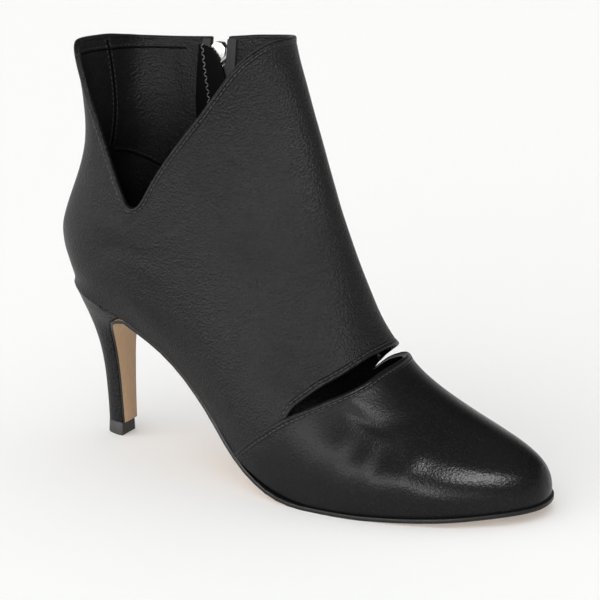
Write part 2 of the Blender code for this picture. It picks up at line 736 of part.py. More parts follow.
def make_top_piece():
    """Wearing cap of the heel, flat on the floor."""
    points, faces = [], []
    steps = TOP_PIECE_STEPS
    rows = ((0.0, TOP_PIECE_FLARE), (TOP_PIECE_HEIGHT, 0.0))
    for z, flare in rows:
        for k in range(steps + 1):
            turn = math.pi * (k / steps - 0.5)
            x = TOP_PIECE_LENGTH / 2 - (TOP_PIECE_LENGTH + flare) * math.cos(turn)
            y = math.sin(turn) * (TOP_PIECE_WIDTH / 2 + flare)
            points.append((x, y, z))
    width = steps + 1
    for j in range(steps):
        faces.append((j, j + 1, j + 1 + width, j + width))
    faces.append((steps, 0, width, steps + width))
    faces.append(list(range(width))[::-1])
    faces.append(list(range(width, 2 * width)))
    add_solid("top_piece", points, faces, RUBBER)


def sole_path():
    """Upper face of the outsole in the side view, toe to heel tip, with thickness and sides."""
    toe_x = FOOT_LENGTH - HEEL_SET_IN
    lip_x = SEAT_LENGTH - HEEL_SET_IN
    start = lip_x + BREAST_START
    outer_line, inner_line = seam_line(False, SOLE_EDGE), seam_line(True, SOLE_EDGE)
    tip = toe_x + SOLE_EDGE
    rows = []
    for k in range(SOLE_ROWS + 1):
        share = k / SOLE_ROWS
        x = tip - (tip - start) * (1 - math.cos(math.pi / 2 * share))
        along = (x + HEEL_SET_IN) / FOOT_LENGTH
        ease = min(max((along - SOLE_THIN_AT) / (SOLE_THICK_AT - SOLE_THIN_AT), 0.0), 1.0)
        ease = ease * ease * (3 - 2 * ease)
        thick = WAIST_THICKNESS + (SOLE_THICKNESS - WAIST_THICKNESS) * ease
        inset = (1 - ease) * (SOLE_EDGE + WAIST_INSET)
        lo, hi = width_at(outer_line, x) + inset, width_at(inner_line, x) - inset
        if k == 0:
            lo = hi = (lo + hi) / 2
            lo, hi = lo - TIP_WIDTH, hi + TIP_WIDTH
        rows.append((x, bottom(x) - GAP, thick, lo, hi))
    rings = heel_rings()
    front = [(r["front_x"], r["front_z"], r["out"], r["in"]) for r in rings][::-1]
    for i, (x, z, out, inn) in enumerate(front):
        if i == 0:
            continue
        before = front[i - 1]
        after = front[min(i + 1, len(front) - 1)]
        run = Vector((after[0] - before[0], after[1] - before[1])).normalized()
        side = Vector((-run.y, run.x))
        fade = max(0.0, 1 - i / BREAST_RINGS)
        thick = BREAST_THICKNESS + (WAIST_THICKNESS - BREAST_THICKNESS) * fade
        rows.append((x + side.x * GAP, z + side.y * GAP, thick, -out, inn))
    return rows


def make_outsole():
    """Thin sole from the toe to the heel, and on down the front of the heel."""
    rows = sole_path()
    path_in = [(r[0], r[1]) for r in rows]
    path_out = []
    for i, r in enumerate(rows):
        before, after = rows[max(i - 1, 0)], rows[min(i + 1, len(rows) - 1)]
        run = Vector((after[0] - before[0], after[1] - before[1])).normalized()
        path_out.append((r[0] - run.y * r[2], r[1] + run.x * r[2]))
    sides = [(r[3], r[4]) for r in rows]
    points, faces = strip(path_in, path_out, sides, sides)
    add_solid("outsole", points, faces, SOLE_TAN)


def insole_face(shrink, lift):
    """One face of the insole: its path in the side view and its sides."""
    outer_line, inner_line = seam_line(False, -shrink), seam_line(True, -shrink)
    front, back = outer_line[0][0], outer_line[-1][0]
    path, sides = [], []
    for k in range(INSOLE_ROWS + 1):
        x = back + (front - back) * (1 - math.cos(math.pi * k / INSOLE_ROWS)) / 2
        path.append((x, bottom(x) + lift))
        lo, hi = width_at(outer_line, x), width_at(inner_line, x)
        if hi - lo < 2 * TIP_WIDTH:
            middle = (lo + hi) / 2
            lo, hi = middle - TIP_WIDTH, middle + TIP_WIDTH
        sides.append((lo, hi))
    return path, sides


def make_insole():
    """Board and sock inside the upper, from toe to heel, with a bevelled edge."""
    path_low, sides_low = insole_face(WALL + INSOLE_MARGIN, 0.0)
    path_top, sides_top = insole_face(WALL + INSOLE_MARGIN + INSOLE_BEVEL, INSOLE_THICKNESS)
    points, faces = strip(path_low, path_top, sides_low, sides_top)
    add_solid("insole", points, faces, LINING)


def zip_station(share):
    """Section at a share of the zip opening, bottom to collar."""
    if "top" not in ZIP_CACHE:
        ZIP_CACHE["top"] = collar_edge(ZIP_ACROSS)
    return HEEL_ROW + (ZIP_CACHE["top"] - HEEL_ROW) * share


def zip_length():
    """Length of the zip opening along the middle."""
    marks = [zip_point(zip_station(k / ZIP_MARKS), 0.0, 0.0) for k in range(ZIP_MARKS + 1)]
    return sum(float(np.linalg.norm(b - a)) for a, b in zip(marks, marks[1:]))


def zip_frame(share):
    """Point on the surface at the zip, with its directions: forward, up and out."""
    s = zip_station(share)
    point = zip_point(s, 0.0, 0.0)
    above = zip_point(min(s + MEASURE_STEP, COLLAR_ROW), 0.0, 0.0)
    up = above - zip_point(s - MEASURE_STEP, 0.0, 0.0)
    up = up / np.linalg.norm(up)
    out = normal(s, zip_across(s))
    out = out - up * float(out @ up)
    out = out / np.linalg.norm(out)
    return point, np.cross(up, out), up, out


def zip_sheet(name, rows, columns, under, over, finish, notch=(0, 0)):
    """Sheet along the zip between two depths from the outer surface, with an optional top notch.

    Each row gives its share of the opening and its sides, front and back of the zip's middle.
    """
    outer, inner = [], []
    for share, front, back in rows:
        s = zip_station(share)
        sideways = [front + (back - front) * j / columns for j in range(columns + 1)]
        outer.append([zip_point(s, y, over) for y in sideways])
        inner.append([zip_point(s, y, under) for y in sideways])
    wide, deep = notch
    last = len(rows) - 1

    def present(i, j):
        return not (i >= last - deep and abs(2 * (j + 0.5) / columns - 1) < wide)

    points, faces = shell(outer, inner, present)
    add_solid(name, points, faces, finish)


def even_rows(low, high, half_width, count):
    """Rows of a straight sheet between two shares of the opening."""
    return [(low + (high - low) * i / count, -half_width, half_width) for i in range(count + 1)]


def guard_rows(length):
    """Rows of the guard, bottom to top, with its free edge rounded off at the top."""
    top = 1 - GUARD_DROP / length
    low = -GUARD_BELOW / length
    rows = []
    for down, forward in GUARD_EDGE[1:]:
        front = GUARD_SET - forward * GUARD_WIDTH
        rows.append((top - down * GUARD_WIDTH / length, front, GUARD_SET))
    share, front, back = rows[-1]
    rows += [(share + (low - share) * (i + 1) / GUARD_ROWS, front, back) for i in range(GUARD_ROWS)]
    return rows[::-1]


def framed_prism(frame, outline, low, high):
    """Outline in the zip's own directions, back and up, carried out between two depths."""
    point, back, up, out = frame
    count = len(outline)
    points = [point + back * u + up * v + out * depth for depth in (low, high) for u, v in outline]
    faces = [list(range(count))[::-1], list(range(count, 2 * count))]
    faces += [(k, (k + 1) % count, count + (k + 1) % count, count + k) for k in range(count)]
    return points, faces


def slider_place():
    """Share of the zip where the slider's middle sits, and its frame."""
    share = 1 - (SLIDER_LENGTH / 2 + SLIDER_DROP) / zip_length()
    return share, zip_frame(share)


def make_zip():
    """Tape, chain and guard on the inner side."""
    length = zip_length()
    slider_low = slider_place()[0] - (SLIDER_LENGTH / 2 + GAP) / length
    tape_over = -WALL - GAP
    tape_under = tape_over - ZIP_TAPE_THICKNESS
    tape_half = ZIP_OPENING / 2 + ZIP_TAPE_MARGIN
    top_share = 1 - TAPE_DROP / length
    notch_deep = math.ceil((top_share - slider_low) / top_share * TAPE_ROWS)
    notch_wide = math.ceil((SLIDER_WIDTH / 2 + GAP) / tape_half * TAPE_COLUMNS / 2) * 2 / TAPE_COLUMNS
    rows = even_rows(-TAPE_BELOW / length, top_share, tape_half, TAPE_ROWS)
    zip_sheet("zip_tape", rows, TAPE_COLUMNS, tape_under, tape_over, TAPE, (notch_wide, notch_deep))
    chain_under = tape_over + GAP
    rows = even_rows(CHAIN_START / length, slider_low, CHAIN_WIDTH / 2, TAPE_ROWS)
    zip_sheet("zip_chain", rows, 1, chain_under, chain_under + CHAIN_THICKNESS, NICKEL)
    guard_over = tape_under - GAP
    zip_sheet("zip_guard", guard_rows(length), GUARD_COLUMNS, guard_over - GUARD_THICKNESS,
              guard_over, GUARD)


def bail_sizes():
    """Half width of the bail's hole, of the bail, and its reach from the hinge."""
    hole = math.hypot(PIN_SIZE / 2, PULL_THICKNESS / 2) + GAP
    half = hole + BAIL_WALL
    return hole, half, math.hypot(half, max(half, HINGE_HEIGHT))


def make_slider():
    """Slider at the top of the chain, with the bail that holds the pull's crossbar."""
    frame = slider_place()[1]
    point, back, up, out = frame
    half_length, half_width = SLIDER_LENGTH / 2, SLIDER_WIDTH / 2
    narrow, high = half_width - SLIDER_CORNER, half_length - SLIDER_CORNER
    body = [(-narrow, -half_length), (narrow, -half_length), (half_width, -SLIDER_SHOULDER),
            (half_width, high), (narrow, half_length), (-narrow, half_length),
            (-half_width, high), (-half_width, -SLIDER_SHOULDER)]
    points, faces = framed_prism(frame, body, SLIDER_TOP - SLIDER_THICKNESS, SLIDER_TOP)
    slider = add_solid("zip_slider", points, faces, NICKEL)
    hole, half, _ = bail_sizes()
    hinge = point + out * (SLIDER_TOP + HINGE_HEIGHT)
    heights = (-HINGE_HEIGHT - SLIDER_THICKNESS / 2, -hole, hole, half)
    sides = []
    for sideways in (BAIL_WIDTH / 2, -BAIL_WIDTH / 2):
        sides.append([[hinge + back * sideways + up * v + out * h for v in (-half, -hole, hole, half)]
                      for h in heights])
    points, faces = shell(sides[0], sides[1], lambda i, j: (i, j) != (1, 1))
    bail = add_solid("bail", points, faces, NICKEL)
    bail.hide_render = True
    bail.display_type = "WIRE"
    join = slider.modifiers.new("bail", "BOOLEAN")
    join.operation = "UNION"
    join.object = bail
    join.solver = "EXACT"


def make_pull():
    """Pull tab hanging from the bail by its crossbar; its origin is on the hinge."""
    point, back, up, out = slider_place()[1]
    hinge = point + out * (SLIDER_TOP + HINGE_HEIGHT)
    half, window = PULL_WIDTH / 2, BAIL_WIDTH / 2 + GAP
    neck = PULL_END - PULL_LENGTH
    rows = [(PIN_SIZE / 2, half), (-PIN_SIZE / 2, half), (-bail_sizes()[2] - GAP, half)]
    for k in range(PULL_STEPS):
        turn = math.pi / 2 * k / PULL_STEPS
        rows.append((neck - PULL_END * math.sin(turn), half * math.cos(turn)))
    sides = []
    for depth in (PULL_THICKNESS / 2, -PULL_THICKNESS / 2):
        grid = []
        for v, wide in rows:
            inside = min(window, wide / 2)
            grid.append([back * u + up * v + out * depth for u in (-wide, -inside, inside, wide)])
        sides.append(grid)
    points, faces = shell(sides[0], sides[1], lambda i, j: (i, j) != (1, 1))
    pull = add_solid("zip_pull", points, faces, NICKEL)
    pull.location = Vector(hinge)


def clear_scene():
    for old in list(bpy.data.objects):
        bpy.data.objects.remove(old, do_unlink=True)


def build():
    clear_scene()
    make_upper()
    make_outsole()
    make_insole()
    make_heel()
    make_top_piece()
    make_zip()
    make_slider()
    make_pull()


build()
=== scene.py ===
import math

import bmesh
import bpy
from mathutils import Matrix, Vector
from mathutils.bvhtree import BVHTree


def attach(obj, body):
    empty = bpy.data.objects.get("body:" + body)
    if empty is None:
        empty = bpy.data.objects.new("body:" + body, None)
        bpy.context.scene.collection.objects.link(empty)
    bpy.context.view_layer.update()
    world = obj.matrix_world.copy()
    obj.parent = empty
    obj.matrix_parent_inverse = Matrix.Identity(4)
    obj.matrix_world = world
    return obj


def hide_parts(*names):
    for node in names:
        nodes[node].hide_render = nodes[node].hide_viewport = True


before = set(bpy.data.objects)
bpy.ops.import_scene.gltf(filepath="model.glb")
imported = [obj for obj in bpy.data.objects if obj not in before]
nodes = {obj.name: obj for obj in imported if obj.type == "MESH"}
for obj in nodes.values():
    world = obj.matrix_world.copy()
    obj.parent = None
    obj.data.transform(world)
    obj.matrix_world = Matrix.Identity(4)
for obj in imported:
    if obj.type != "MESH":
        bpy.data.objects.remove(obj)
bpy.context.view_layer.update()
mm = 0.001


def toLinear(hexColour):
    # sRGB hex to the linear colour that the shader wants
    parts = [int(hexColour[k:k + 2], 16) / 255 for k in (1, 3, 5)]
    return [v / 12.92 if v <= 0.04045 else ((v + 0.055) / 1.055) ** 2.4 for v in parts] + [1]


def addNode(tree, kind, settings, links=()):
    # one node with its settings, and links given as (input, source socket)
    node = tree.nodes.new(kind)
    for name, value in settings.items():
        if name in node.inputs:
            node.inputs[name].default_value = value
        else:
            setattr(node, name, value)
    for name, source in links:
        tree.links.new(source, node.inputs[name])
    return node


def newMaterial(name, sockets):
    made = bpy.data.materials.new(name)
    made.use_nodes = True
    shader = made.node_tree.nodes["Principled BSDF"]
    for socket, value in sockets.items():
        shader.inputs[socket].default_value = value
    return made, made.node_tree, shader


leather = {
    "colour": "#09090a",
    "tone": "#100f10",        # worn, slightly greyer patches
    "lift": "#1b1a1a",        # pigment rubbed thin on the grain tops, and painted sheen: the lighter tops stand in for glints on the grain
    "roughness": (0.34, 0.44),
    "pebble": 0.95,           # mm across one pebble, a little coarse so that it shows
    "pebbleDepth": 0.25,      # mm
    "crackle": 1.8,           # mm between the fine wrinkles
    "crackleDepth": 0.42,     # mm
    "aslant": (0.2, -0.5, 0.3), "stretch": (0.55, 0.55, 1.7),     # how the wrinkles lie: long and leaning
    "specular": 0.12,
    "patch": 30,              # mm across the patches that wear and wrinkle differently
    "rubbedAndSheen": ((0.50, 0.72), 0.75),       # how high a grain top has to be to turn lighter with rubbed pigment and painted sheen, and how much of it
    "wrinkled": ((0.42, 0.62), 0.25),     # which patches wrinkle, and the share left in the others
    "vamp": (0.068, 0.080),   # m forward and down where the wrinkled quarter ends and the smooth vamp starts
    "vampGrain": 0.24,        # share of the pebble's depth that is left on the vamp
    "vampCrackle": 0.12,      # share of the wrinkles' depth that is left there
    "buffed": ((0.130, 0.165), 0.12),     # m along the foot where the toe is buffed, and how much smoother
}


def satinLeather(name, dark=1.0, gloss=0.0, crackle=1.0):
    # pigmented calf leather: satin shine broken by a fine pebble and, in patches, by fine wrinkles
    made, tree, shader = newMaterial(name, {"IOR": 1.5, "Specular IOR Level": leather["specular"]})
    place = addNode(tree, "ShaderNodeTexCoord", {}).outputs["Object"]
    patches = addNode(tree, "ShaderNodeTexNoise", {"Scale": 1 / (leather["patch"] * mm), "Detail": 3.0},
                      [("Vector", place)])
    ramp = addNode(tree, "ShaderNodeValToRGB", {}, [("Fac", patches.outputs["Fac"])])
    for stop, hexColour in ((0, "colour"), (1, "tone")):
        ramp.color_ramp.elements[stop].color = [v * dark for v in toLinear(leather[hexColour])[:3]] + [1]
    fine = 1 / (leather["pebble"] * mm)
    pebbles = addNode(tree, "ShaderNodeTexVoronoi", {"feature": "SMOOTH_F1", "Smoothness": 0.35,
                                                     "Scale": fine}, [("Vector", place)])
    specks = addNode(tree, "ShaderNodeTexNoise", {"Scale": fine, "Detail": 3.0, "Roughness": 0.7},
                     [("Vector", place)])
    # grain tops painted lighter: partly rubbed pigment, partly painted sheen standing in for glints on the
    # grain
    (start, end), amount = leather["rubbedAndSheen"]
    rubbedAndSheen = addNode(tree, "ShaderNodeMapRange", {"From Min": start, "From Max": end,
                                                  "To Max": amount * dark},
                     [("Value", specks.outputs["Fac"])])
    grain = addNode(tree, "ShaderNodeMix", {"data_type": "RGBA"}, [(0, rubbedAndSheen.outputs["Result"]),
                                                                   (6, ramp.outputs["Color"])])
    grain.inputs[7].default_value = toLinear(leather["lift"])
    tree.links.new(grain.outputs[2], shader.inputs["Base Color"])
    low, high = leather["roughness"]
    rough = addNode(tree, "ShaderNodeMapRange", {"To Min": low - gloss, "To Max": high - gloss},
                    [("Value", patches.outputs["Fac"])])
    (start, end), amount = leather["buffed"]
    along = addNode(tree, "ShaderNodeSeparateXYZ", {}, [("Vector", place)])
    toe = addNode(tree, "ShaderNodeMapRange", {"From Min": start, "From Max": end, "To Max": amount},
                  [("Value", along.outputs["X"])])
    shine = addNode(tree, "ShaderNodeMath", {"operation": "SUBTRACT"}, [(0, rough.outputs["Result"]),
                                                                        (1, toe.outputs["Result"])])
    tree.links.new(shine.outputs["Value"], shader.inputs["Roughness"])
    ahead = addNode(tree, "ShaderNodeMath", {"operation": "SUBTRACT"}, [(0, along.outputs["X"]),
                                                                        (1, along.outputs["Z"])])
    start, end = leather["vamp"]
    calm = addNode(tree, "ShaderNodeMapRange", {"From Min": start, "From Max": end, "To Min": 1.0,
                                                "To Max": leather["vampGrain"]},
                   [("Value", ahead.outputs["Value"])])
    bump = addNode(tree, "ShaderNodeBump", {"Distance": leather["pebbleDepth"] * mm},
                   [("Height", pebbles.outputs["Distance"]), ("Strength", calm.outputs["Result"])])
    pores = addNode(tree, "ShaderNodeBump", {"Distance": leather["pebbleDepth"] * mm},
                    [("Height", specks.outputs["Fac"]), ("Normal", bump.outputs["Normal"]),
                     ("Strength", calm.outputs["Result"])])
    flat = addNode(tree, "ShaderNodeMapping", {"Rotation": leather["aslant"], "Scale": leather["stretch"]},
                   [("Vector", place)])
    lines = addNode(tree, "ShaderNodeTexNoise", {"Scale": 1 / (leather["crackle"] * mm), "Detail": 5.0,
                                                 "Roughness": 0.62, "Distortion": 0.6},
                    [("Vector", flat.outputs["Vector"])])
    (start, end), rest = leather["wrinkled"]
    where = addNode(tree, "ShaderNodeMapRange", {"From Min": start, "From Max": end, "To Min": rest,
                                                 "To Max": crackle}, [("Value", patches.outputs["Fac"])])
    fewer = addNode(tree, "ShaderNodeMapRange", {"From Min": leather["vampGrain"], "From Max": 1.0,
                                                 "To Min": leather["vampCrackle"], "To Max": 1.0},
                    [("Value", calm.outputs["Result"])])
    depth = addNode(tree, "ShaderNodeMath", {"operation": "MULTIPLY"}, [(0, where.outputs["Result"]),
                                                                        (1, fewer.outputs["Result"])])
    wrinkles = addNode(tree, "ShaderNodeBump", {"Distance": leather["crackleDepth"] * mm},
                       [("Strength", depth.outputs["Value"]), ("Height", lines.outputs["Fac"]),
                        ("Normal", pores.outputs["Normal"])])
    tree.links.new(wrinkles.outputs["Normal"], shader.inputs["Normal"])
    return made


# the smaller finishes, each with the size and depth of its marks in mm
# the lining's black is darker than the upper's: black lining, plus painted shade for the inside of the boot
lining = {"colour": "#050505", "roughness": 0.55, "specular": 0.02, "pore": 0.9, "depth": 0.06}
tan = {"dark": "#927658", "light": "#ab8f6f", "roughness": 0.55, "streak": 1.6, "depth": 0.05,
       "stretch": (0.35, 1.0, 0.35)}
ink = {"colour": "#0b0b0b", "roughness": 0.42, "specular": 0.25, "mark": 1.0, "depth": 0.12}
tape = {"colour": "#151516", "roughness": 0.85, "rib": 0.8, "depth": 0.1}


def marked(name, sockets, kind, settings, height, strength, depth):
    # a finish of one colour whose relief is one even pattern; depth in mm
    made, tree, shader = newMaterial(name, sockets)
    place = addNode(tree, "ShaderNodeTexCoord", {})
    marks = addNode(tree, kind, settings, [("Vector", place.outputs["Object"])])
    bump = addNode(tree, "ShaderNodeBump", {"Strength": strength, "Distance": depth * mm},
                   [("Height", marks.outputs[height])])
    tree.links.new(bump.outputs["Normal"], shader.inputs["Normal"])
    return made


def liningLeather():
    # thin pigskin lining: dull, with a fine even pore pattern; black, and darker than the upper as painted
    # shade for the inside of the boot
    return marked("lining_leather", {"Base Color": toLinear(lining["colour"]), "Roughness": lining["roughness"],
                                     "Specular IOR Level": lining["specular"]},
                  "ShaderNodeTexNoise", {"Scale": 1 / (lining["pore"] * mm), "Detail": 3.0},
                  "Fac", 0.4, lining["depth"])


def soleLeather():
    # smooth tan sole leather: matt, with a long faint grain
    made, tree, shader = newMaterial("tan_sole_leather", {"Roughness": tan["roughness"]})
    place = addNode(tree, "ShaderNodeTexCoord", {})
    stretch = addNode(tree, "ShaderNodeMapping", {"Scale": tan["stretch"]},
                      [("Vector", place.outputs["Object"])])
    streaks = addNode(tree, "ShaderNodeTexNoise", {"Scale": 1 / (tan["streak"] * mm), "Detail": 4.0},
                      [("Vector", stretch.outputs["Vector"])])
    ramp = addNode(tree, "ShaderNodeValToRGB", {}, [("Fac", streaks.outputs["Fac"])])
    ramp.color_ramp.elements[0].color = toLinear(tan["dark"])
    ramp.color_ramp.elements[1].color = toLinear(tan["light"])
    tree.links.new(ramp.outputs["Color"], shader.inputs["Base Color"])
    bump = addNode(tree, "ShaderNodeBump", {"Strength": 0.3, "Distance": tan["depth"] * mm},
                   [("Height", streaks.outputs["Fac"])])
    tree.links.new(bump.outputs["Normal"], shader.inputs["Normal"])
    return made


def edgeInk():
    # black edge dye, wheeled with fine marks a millimetre apart
    return marked("inked_sole_edge", {"Base Color": toLinear(ink["colour"]), "Roughness": ink["roughness"],
                                      "Specular IOR Level": ink["specular"]},
                  "ShaderNodeTexVoronoi", {"Scale": 1 / (ink["mark"] * mm)}, "Distance", 0.5, ink["depth"])


def moulded(name, colour, roughness, grain, depth, metallic=0.0):
    # moulded rubber, spun thread or plated metal: even in colour, with a fine grain given in mm
    return marked(name, {"Base Color": toLinear(colour), "Roughness": roughness, "Metallic": metallic},
                  "ShaderNodeTexNoise", {"Scale": 1 / (grain * mm), "Detail": 2.0}, "Fac", 0.4, depth)


def wovenTape():
    # polyester zip tape: a tight twill, its ribs wider apart than real ones so that they show
    return marked("woven_tape", {"Base Color": toLinear(tape["colour"]), "Roughness": tape["roughness"]},
                  "ShaderNodeTexWave", {"bands_direction": "DIAGONAL", "Scale": 1 / (tape["rib"] * mm) / 3},
                  "Fac", 0.5, tape["depth"])


finish = {
    "upper": satinLeather("black_calf_leather"),
    "fold": satinLeather("folded_calf_leather", 0.9, 0.06, 0.3),
    # the heel's copy of the calf leather is darkened to 0.4 of its colour: painted shade on the heel
    "heel": satinLeather("heel_cover_leather", 0.4, 0.05, 0.15),
    "lining": liningLeather(),
    "sole": soleLeather(),
    "ink": edgeInk(),
    "rubber": moulded("top_piece_rubber", "#1c1b1b", 0.62, 0.5, 0.05),
    "thread": moulded("bonded_nylon_thread", "#1d1c1d", 0.5, 0.3, 0.04),
    "dullThread": moulded("spun_polyester_thread", "#0a0a0a", 0.75, 0.3, 0.04),
    "greyThread": moulded("waxed_grey_thread", "#4c4b49", 0.6, 0.3, 0.04),
    "tape": wovenTape(),
    "metal": moulded("nickel_plated_zinc", "#c9c8c4", 0.22, 1.2, 0.01, 1.0),
}
print("stage: materials made")


weld = 0.02 * mm      # points of the frame's loose triangles that are nearer than this are one


def only(piece):
    bpy.ops.object.select_all(action="DESELECT")
    piece.select_set(True)
    bpy.context.view_layer.objects.active = piece


def copyNode(nodeName, pieceName, quads=True):
    # the frame's mesh is loose triangles, so the copy is welded and turned back into quads
    source = nodes[nodeName]
    piece = bpy.data.objects.new(pieceName, source.data.copy())
    bpy.context.collection.objects.link(piece)
    only(piece)
    if piece.data.has_custom_normals:
        bpy.ops.mesh.customdata_custom_splitnormals_clear()
    bpy.ops.object.mode_set(mode="EDIT")
    bpy.ops.mesh.select_all(action="SELECT")
    bpy.ops.mesh.remove_doubles(threshold=weld)
    if quads:
        bpy.ops.mesh.tris_convert_to_quads(face_threshold=math.radians(40), shape_threshold=math.radians(70))
    bpy.ops.object.mode_set(mode="OBJECT")
    return piece


def setMaterials(piece, *names):
    piece.data.materials.clear()
    for name in names:
        piece.data.materials.append(finish[name])


def applied(piece, kind, **settings):
    # adds a modifier, sets it and applies it
    modifier = piece.modifiers.new(kind.lower(), kind)
    for name, value in settings.items():
        setattr(modifier, name, value)
    only(piece)
    bpy.ops.object.modifier_apply(modifier=modifier.name)


def smoothed(piece, degrees=40):
    only(piece)
    bpy.ops.object.shade_smooth_by_angle(angle=math.radians(degrees))


def softened(piece, width):
    # every edge that turns more than 35 degrees is rounded, width in mm
    applied(piece, "BEVEL", width=width * mm, segments=2, limit_method="ANGLE",
            angle_limit=math.radians(35), use_clamp_overlap=True)
    smoothed(piece)


def treeOf(piece):
    mesh = piece.data
    return BVHTree.FromPolygons([v.co for v in mesh.vertices], [p.vertices for p in mesh.polygons])


def meshPiece(name, points, faces, materialName):
    mesh = bpy.data.meshes.new(name)
    mesh.from_pydata([tuple(p) for p in points], [], faces)
    made = bpy.data.objects.new(name, mesh)
    bpy.context.collection.objects.link(made)
    work = bmesh.new()
    work.from_mesh(mesh)
    bmesh.ops.recalc_face_normals(work, faces=work.faces)
    work.to_mesh(mesh)
    work.free()
    made.data.materials.append(finish[materialName])
    smoothed(made, 45)
    return made


def keep(piece, slotName, *replaced, body="shoe"):
    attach(piece, body)
    if replaced:
        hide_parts(*replaced)
    return piece


upperSizes = {
    "sharp": 42,            # degrees, corners of the wall that stay crisp
    "corner": 62,           # degrees, turns of an edge that stay a corner
    "levels": 2,
    "heelArea": ((-22, 24), (64, 96)),   # x and z in mm where the counter is smoothed
    "relax": 8,             # times that it is smoothed
    "softBelow": 105,       # mm, under which the counter's own faces get no crease
    "patch": 1200,          # mm2, the smallest patch that counts as a side of the wall
    "rays": 80,             # faces asked on each patch, and the share of hits that makes it the inner side
    "innerShare": 0.55,
}

# soft troughs and ridges, listed one by one: middle, running direction, then reach along, width and depth in mm
creases = [
    # vamp: the dimples below the slit and the hollow behind the toe
    {"at": (158, -33, 21), "run": (0.25, 0.65, 0.72), "along": 11, "wide": 3.6, "deep": 0.75},
    {"at": (153, -35, 22), "run": (0.2, 0.5, 0.8), "along": 6, "wide": 4.0, "deep": -0.5},
    {"at": (146.5, -37, 24), "run": (0.3, 0.5, 0.8), "along": 8, "wide": 3.0, "deep": 0.6},
    {"at": (141, -39, 23), "run": (0.1, 0.5, 0.8), "along": 7, "wide": 3.4, "deep": -0.45},
    {"at": (136, -39, 27), "run": (0.5, 0.4, 0.8), "along": 9, "wide": 3.0, "deep": 0.55},
    {"at": (129, -40, 29), "run": (0.5, 0.3, 0.8), "along": 8, "wide": 3.6, "deep": -0.35},
    {"at": (139, -30, 38), "run": (0.9, 0.3, -0.5), "along": 11, "wide": 3.2, "deep": 0.7},
    {"at": (132, -28, 45), "run": (0.7, 0.5, -0.3), "along": 6, "wide": 3.2, "deep": -0.45},
    {"at": (147, -24, 38), "run": (0.6, 0.7, -0.2), "along": 12, "wide": 4.0, "deep": 0.45},
    # shaft: soft folds that fan out above the instep
    {"at": (114, -24, 66), "run": (-0.75, -0.2, 0.6), "along": 17, "wide": 2.6, "deep": 0.45},
    {"at": (110, -25, 74), "run": (-0.8, -0.2, 0.5), "along": 16, "wide": 2.6, "deep": -0.35},
    {"at": (107, -24, 84), "run": (-0.8, -0.25, 0.45), "along": 18, "wide": 3.0, "deep": 0.45},
    {"at": (101, -24, 97), "run": (-0.8, -0.3, 0.35), "along": 20, "wide": 3.4, "deep": 0.4},
    {"at": (108, -33, 52), "run": (-0.8, -0.1, 0.6), "along": 14, "wide": 3.0, "deep": 0.45},
    {"at": (92, -22, 128), "run": (0.3, 0.2, -1), "along": 24, "wide": 4.0, "deep": -0.35},
    # quarter: the slack leather over the counter and the waist
    {"at": (22, -29.5, 95), "run": (1, -0.05, -0.22), "along": 17, "wide": 4.4, "deep": 0.6},
    {"at": (12, -28, 104), "run": (1, -0.2, -0.15), "along": 14, "wide": 4.2, "deep": -0.45},
    {"at": (12, -28, 112), "run": (1, -0.2, -0.35), "along": 13, "wide": 4.2, "deep": 0.5},
    {"at": (37, -30, 79), "run": (1, 0, -0.45), "along": 18, "wide": 5.0, "deep": 0.45},
    {"at": (54, -30, 58), "run": (1, 0, -0.7), "along": 16, "wide": 4.6, "deep": 0.4},
    {"at": (69, -31, 38), "run": (0.8, 0, -0.6), "along": 12, "wide": 4.0, "deep": 0.35},
    # inner side, beside the zip and over the arch
    {"at": (52, 27, 120), "run": (0.15, 0, 1), "along": 26, "wide": 4.5, "deep": 0.4},
    {"at": (84, 26, 60), "run": (1, 0, -0.7), "along": 16, "wide": 4.0, "deep": 0.4},
    {"at": (8, 26, 100), "run": (1, 0, 0.2), "along": 14, "wide": 5.0, "deep": 0.4},
    # lining: the ridge and crumple beside the back seam
    {"at": (22.5, 25.5, 160), "run": (0.18, 0, -1), "along": 16, "wide": 2.4, "deep": -0.4},
    {"at": (6, 12, 160), "run": (0.1, 0.3, 1), "along": 14, "wide": 5.0, "deep": 0.5},
]


def inHeelArea(place):
    (x0, x1), (z0, z1) = upperSizes["heelArea"]
    return x0 * mm < place.x < x1 * mm and z0 * mm < place.z < z1 * mm


def partFaces(work):
    # patches of faces between sharp corners, sorted into outer, inner and rim
    limit = math.radians(upperSizes["sharp"])
    kind, patches = {}, []
    for start in work.faces:
        if start in kind:
            continue
        patch, stack = [], [start]
        kind[start] = "rim"
        while stack:
            face = stack.pop()
            patch.append(face)
            for edge in face.edges:
                if len(edge.link_faces) == 2 and edge.calc_face_angle(0) < limit:
                    for other in edge.link_faces:
                        if other not in kind:
                            kind[other] = "rim"
                            stack.append(other)
        patches.append(patch)
    tree = BVHTree.FromBMesh(work)
    for patch in patches:
        facet = all(inHeelArea(face.calc_center_median()) for face in patch)
        if sum(face.calc_area() for face in patch) < upperSizes["patch"] * mm * mm and not facet:
            continue
        hits = 0
        sample = patch[::max(1, len(patch) // upperSizes["rays"])]
        for face in sample:
            middle = face.calc_center_median()
            if tree.ray_cast(middle + face.normal * 0.5 * mm, face.normal)[0] is not None:
                hits += 1
        side = "inner" if hits > upperSizes["innerShare"] * len(sample) else "outer"
        for face in patch:
            kind[face] = side
    return kind


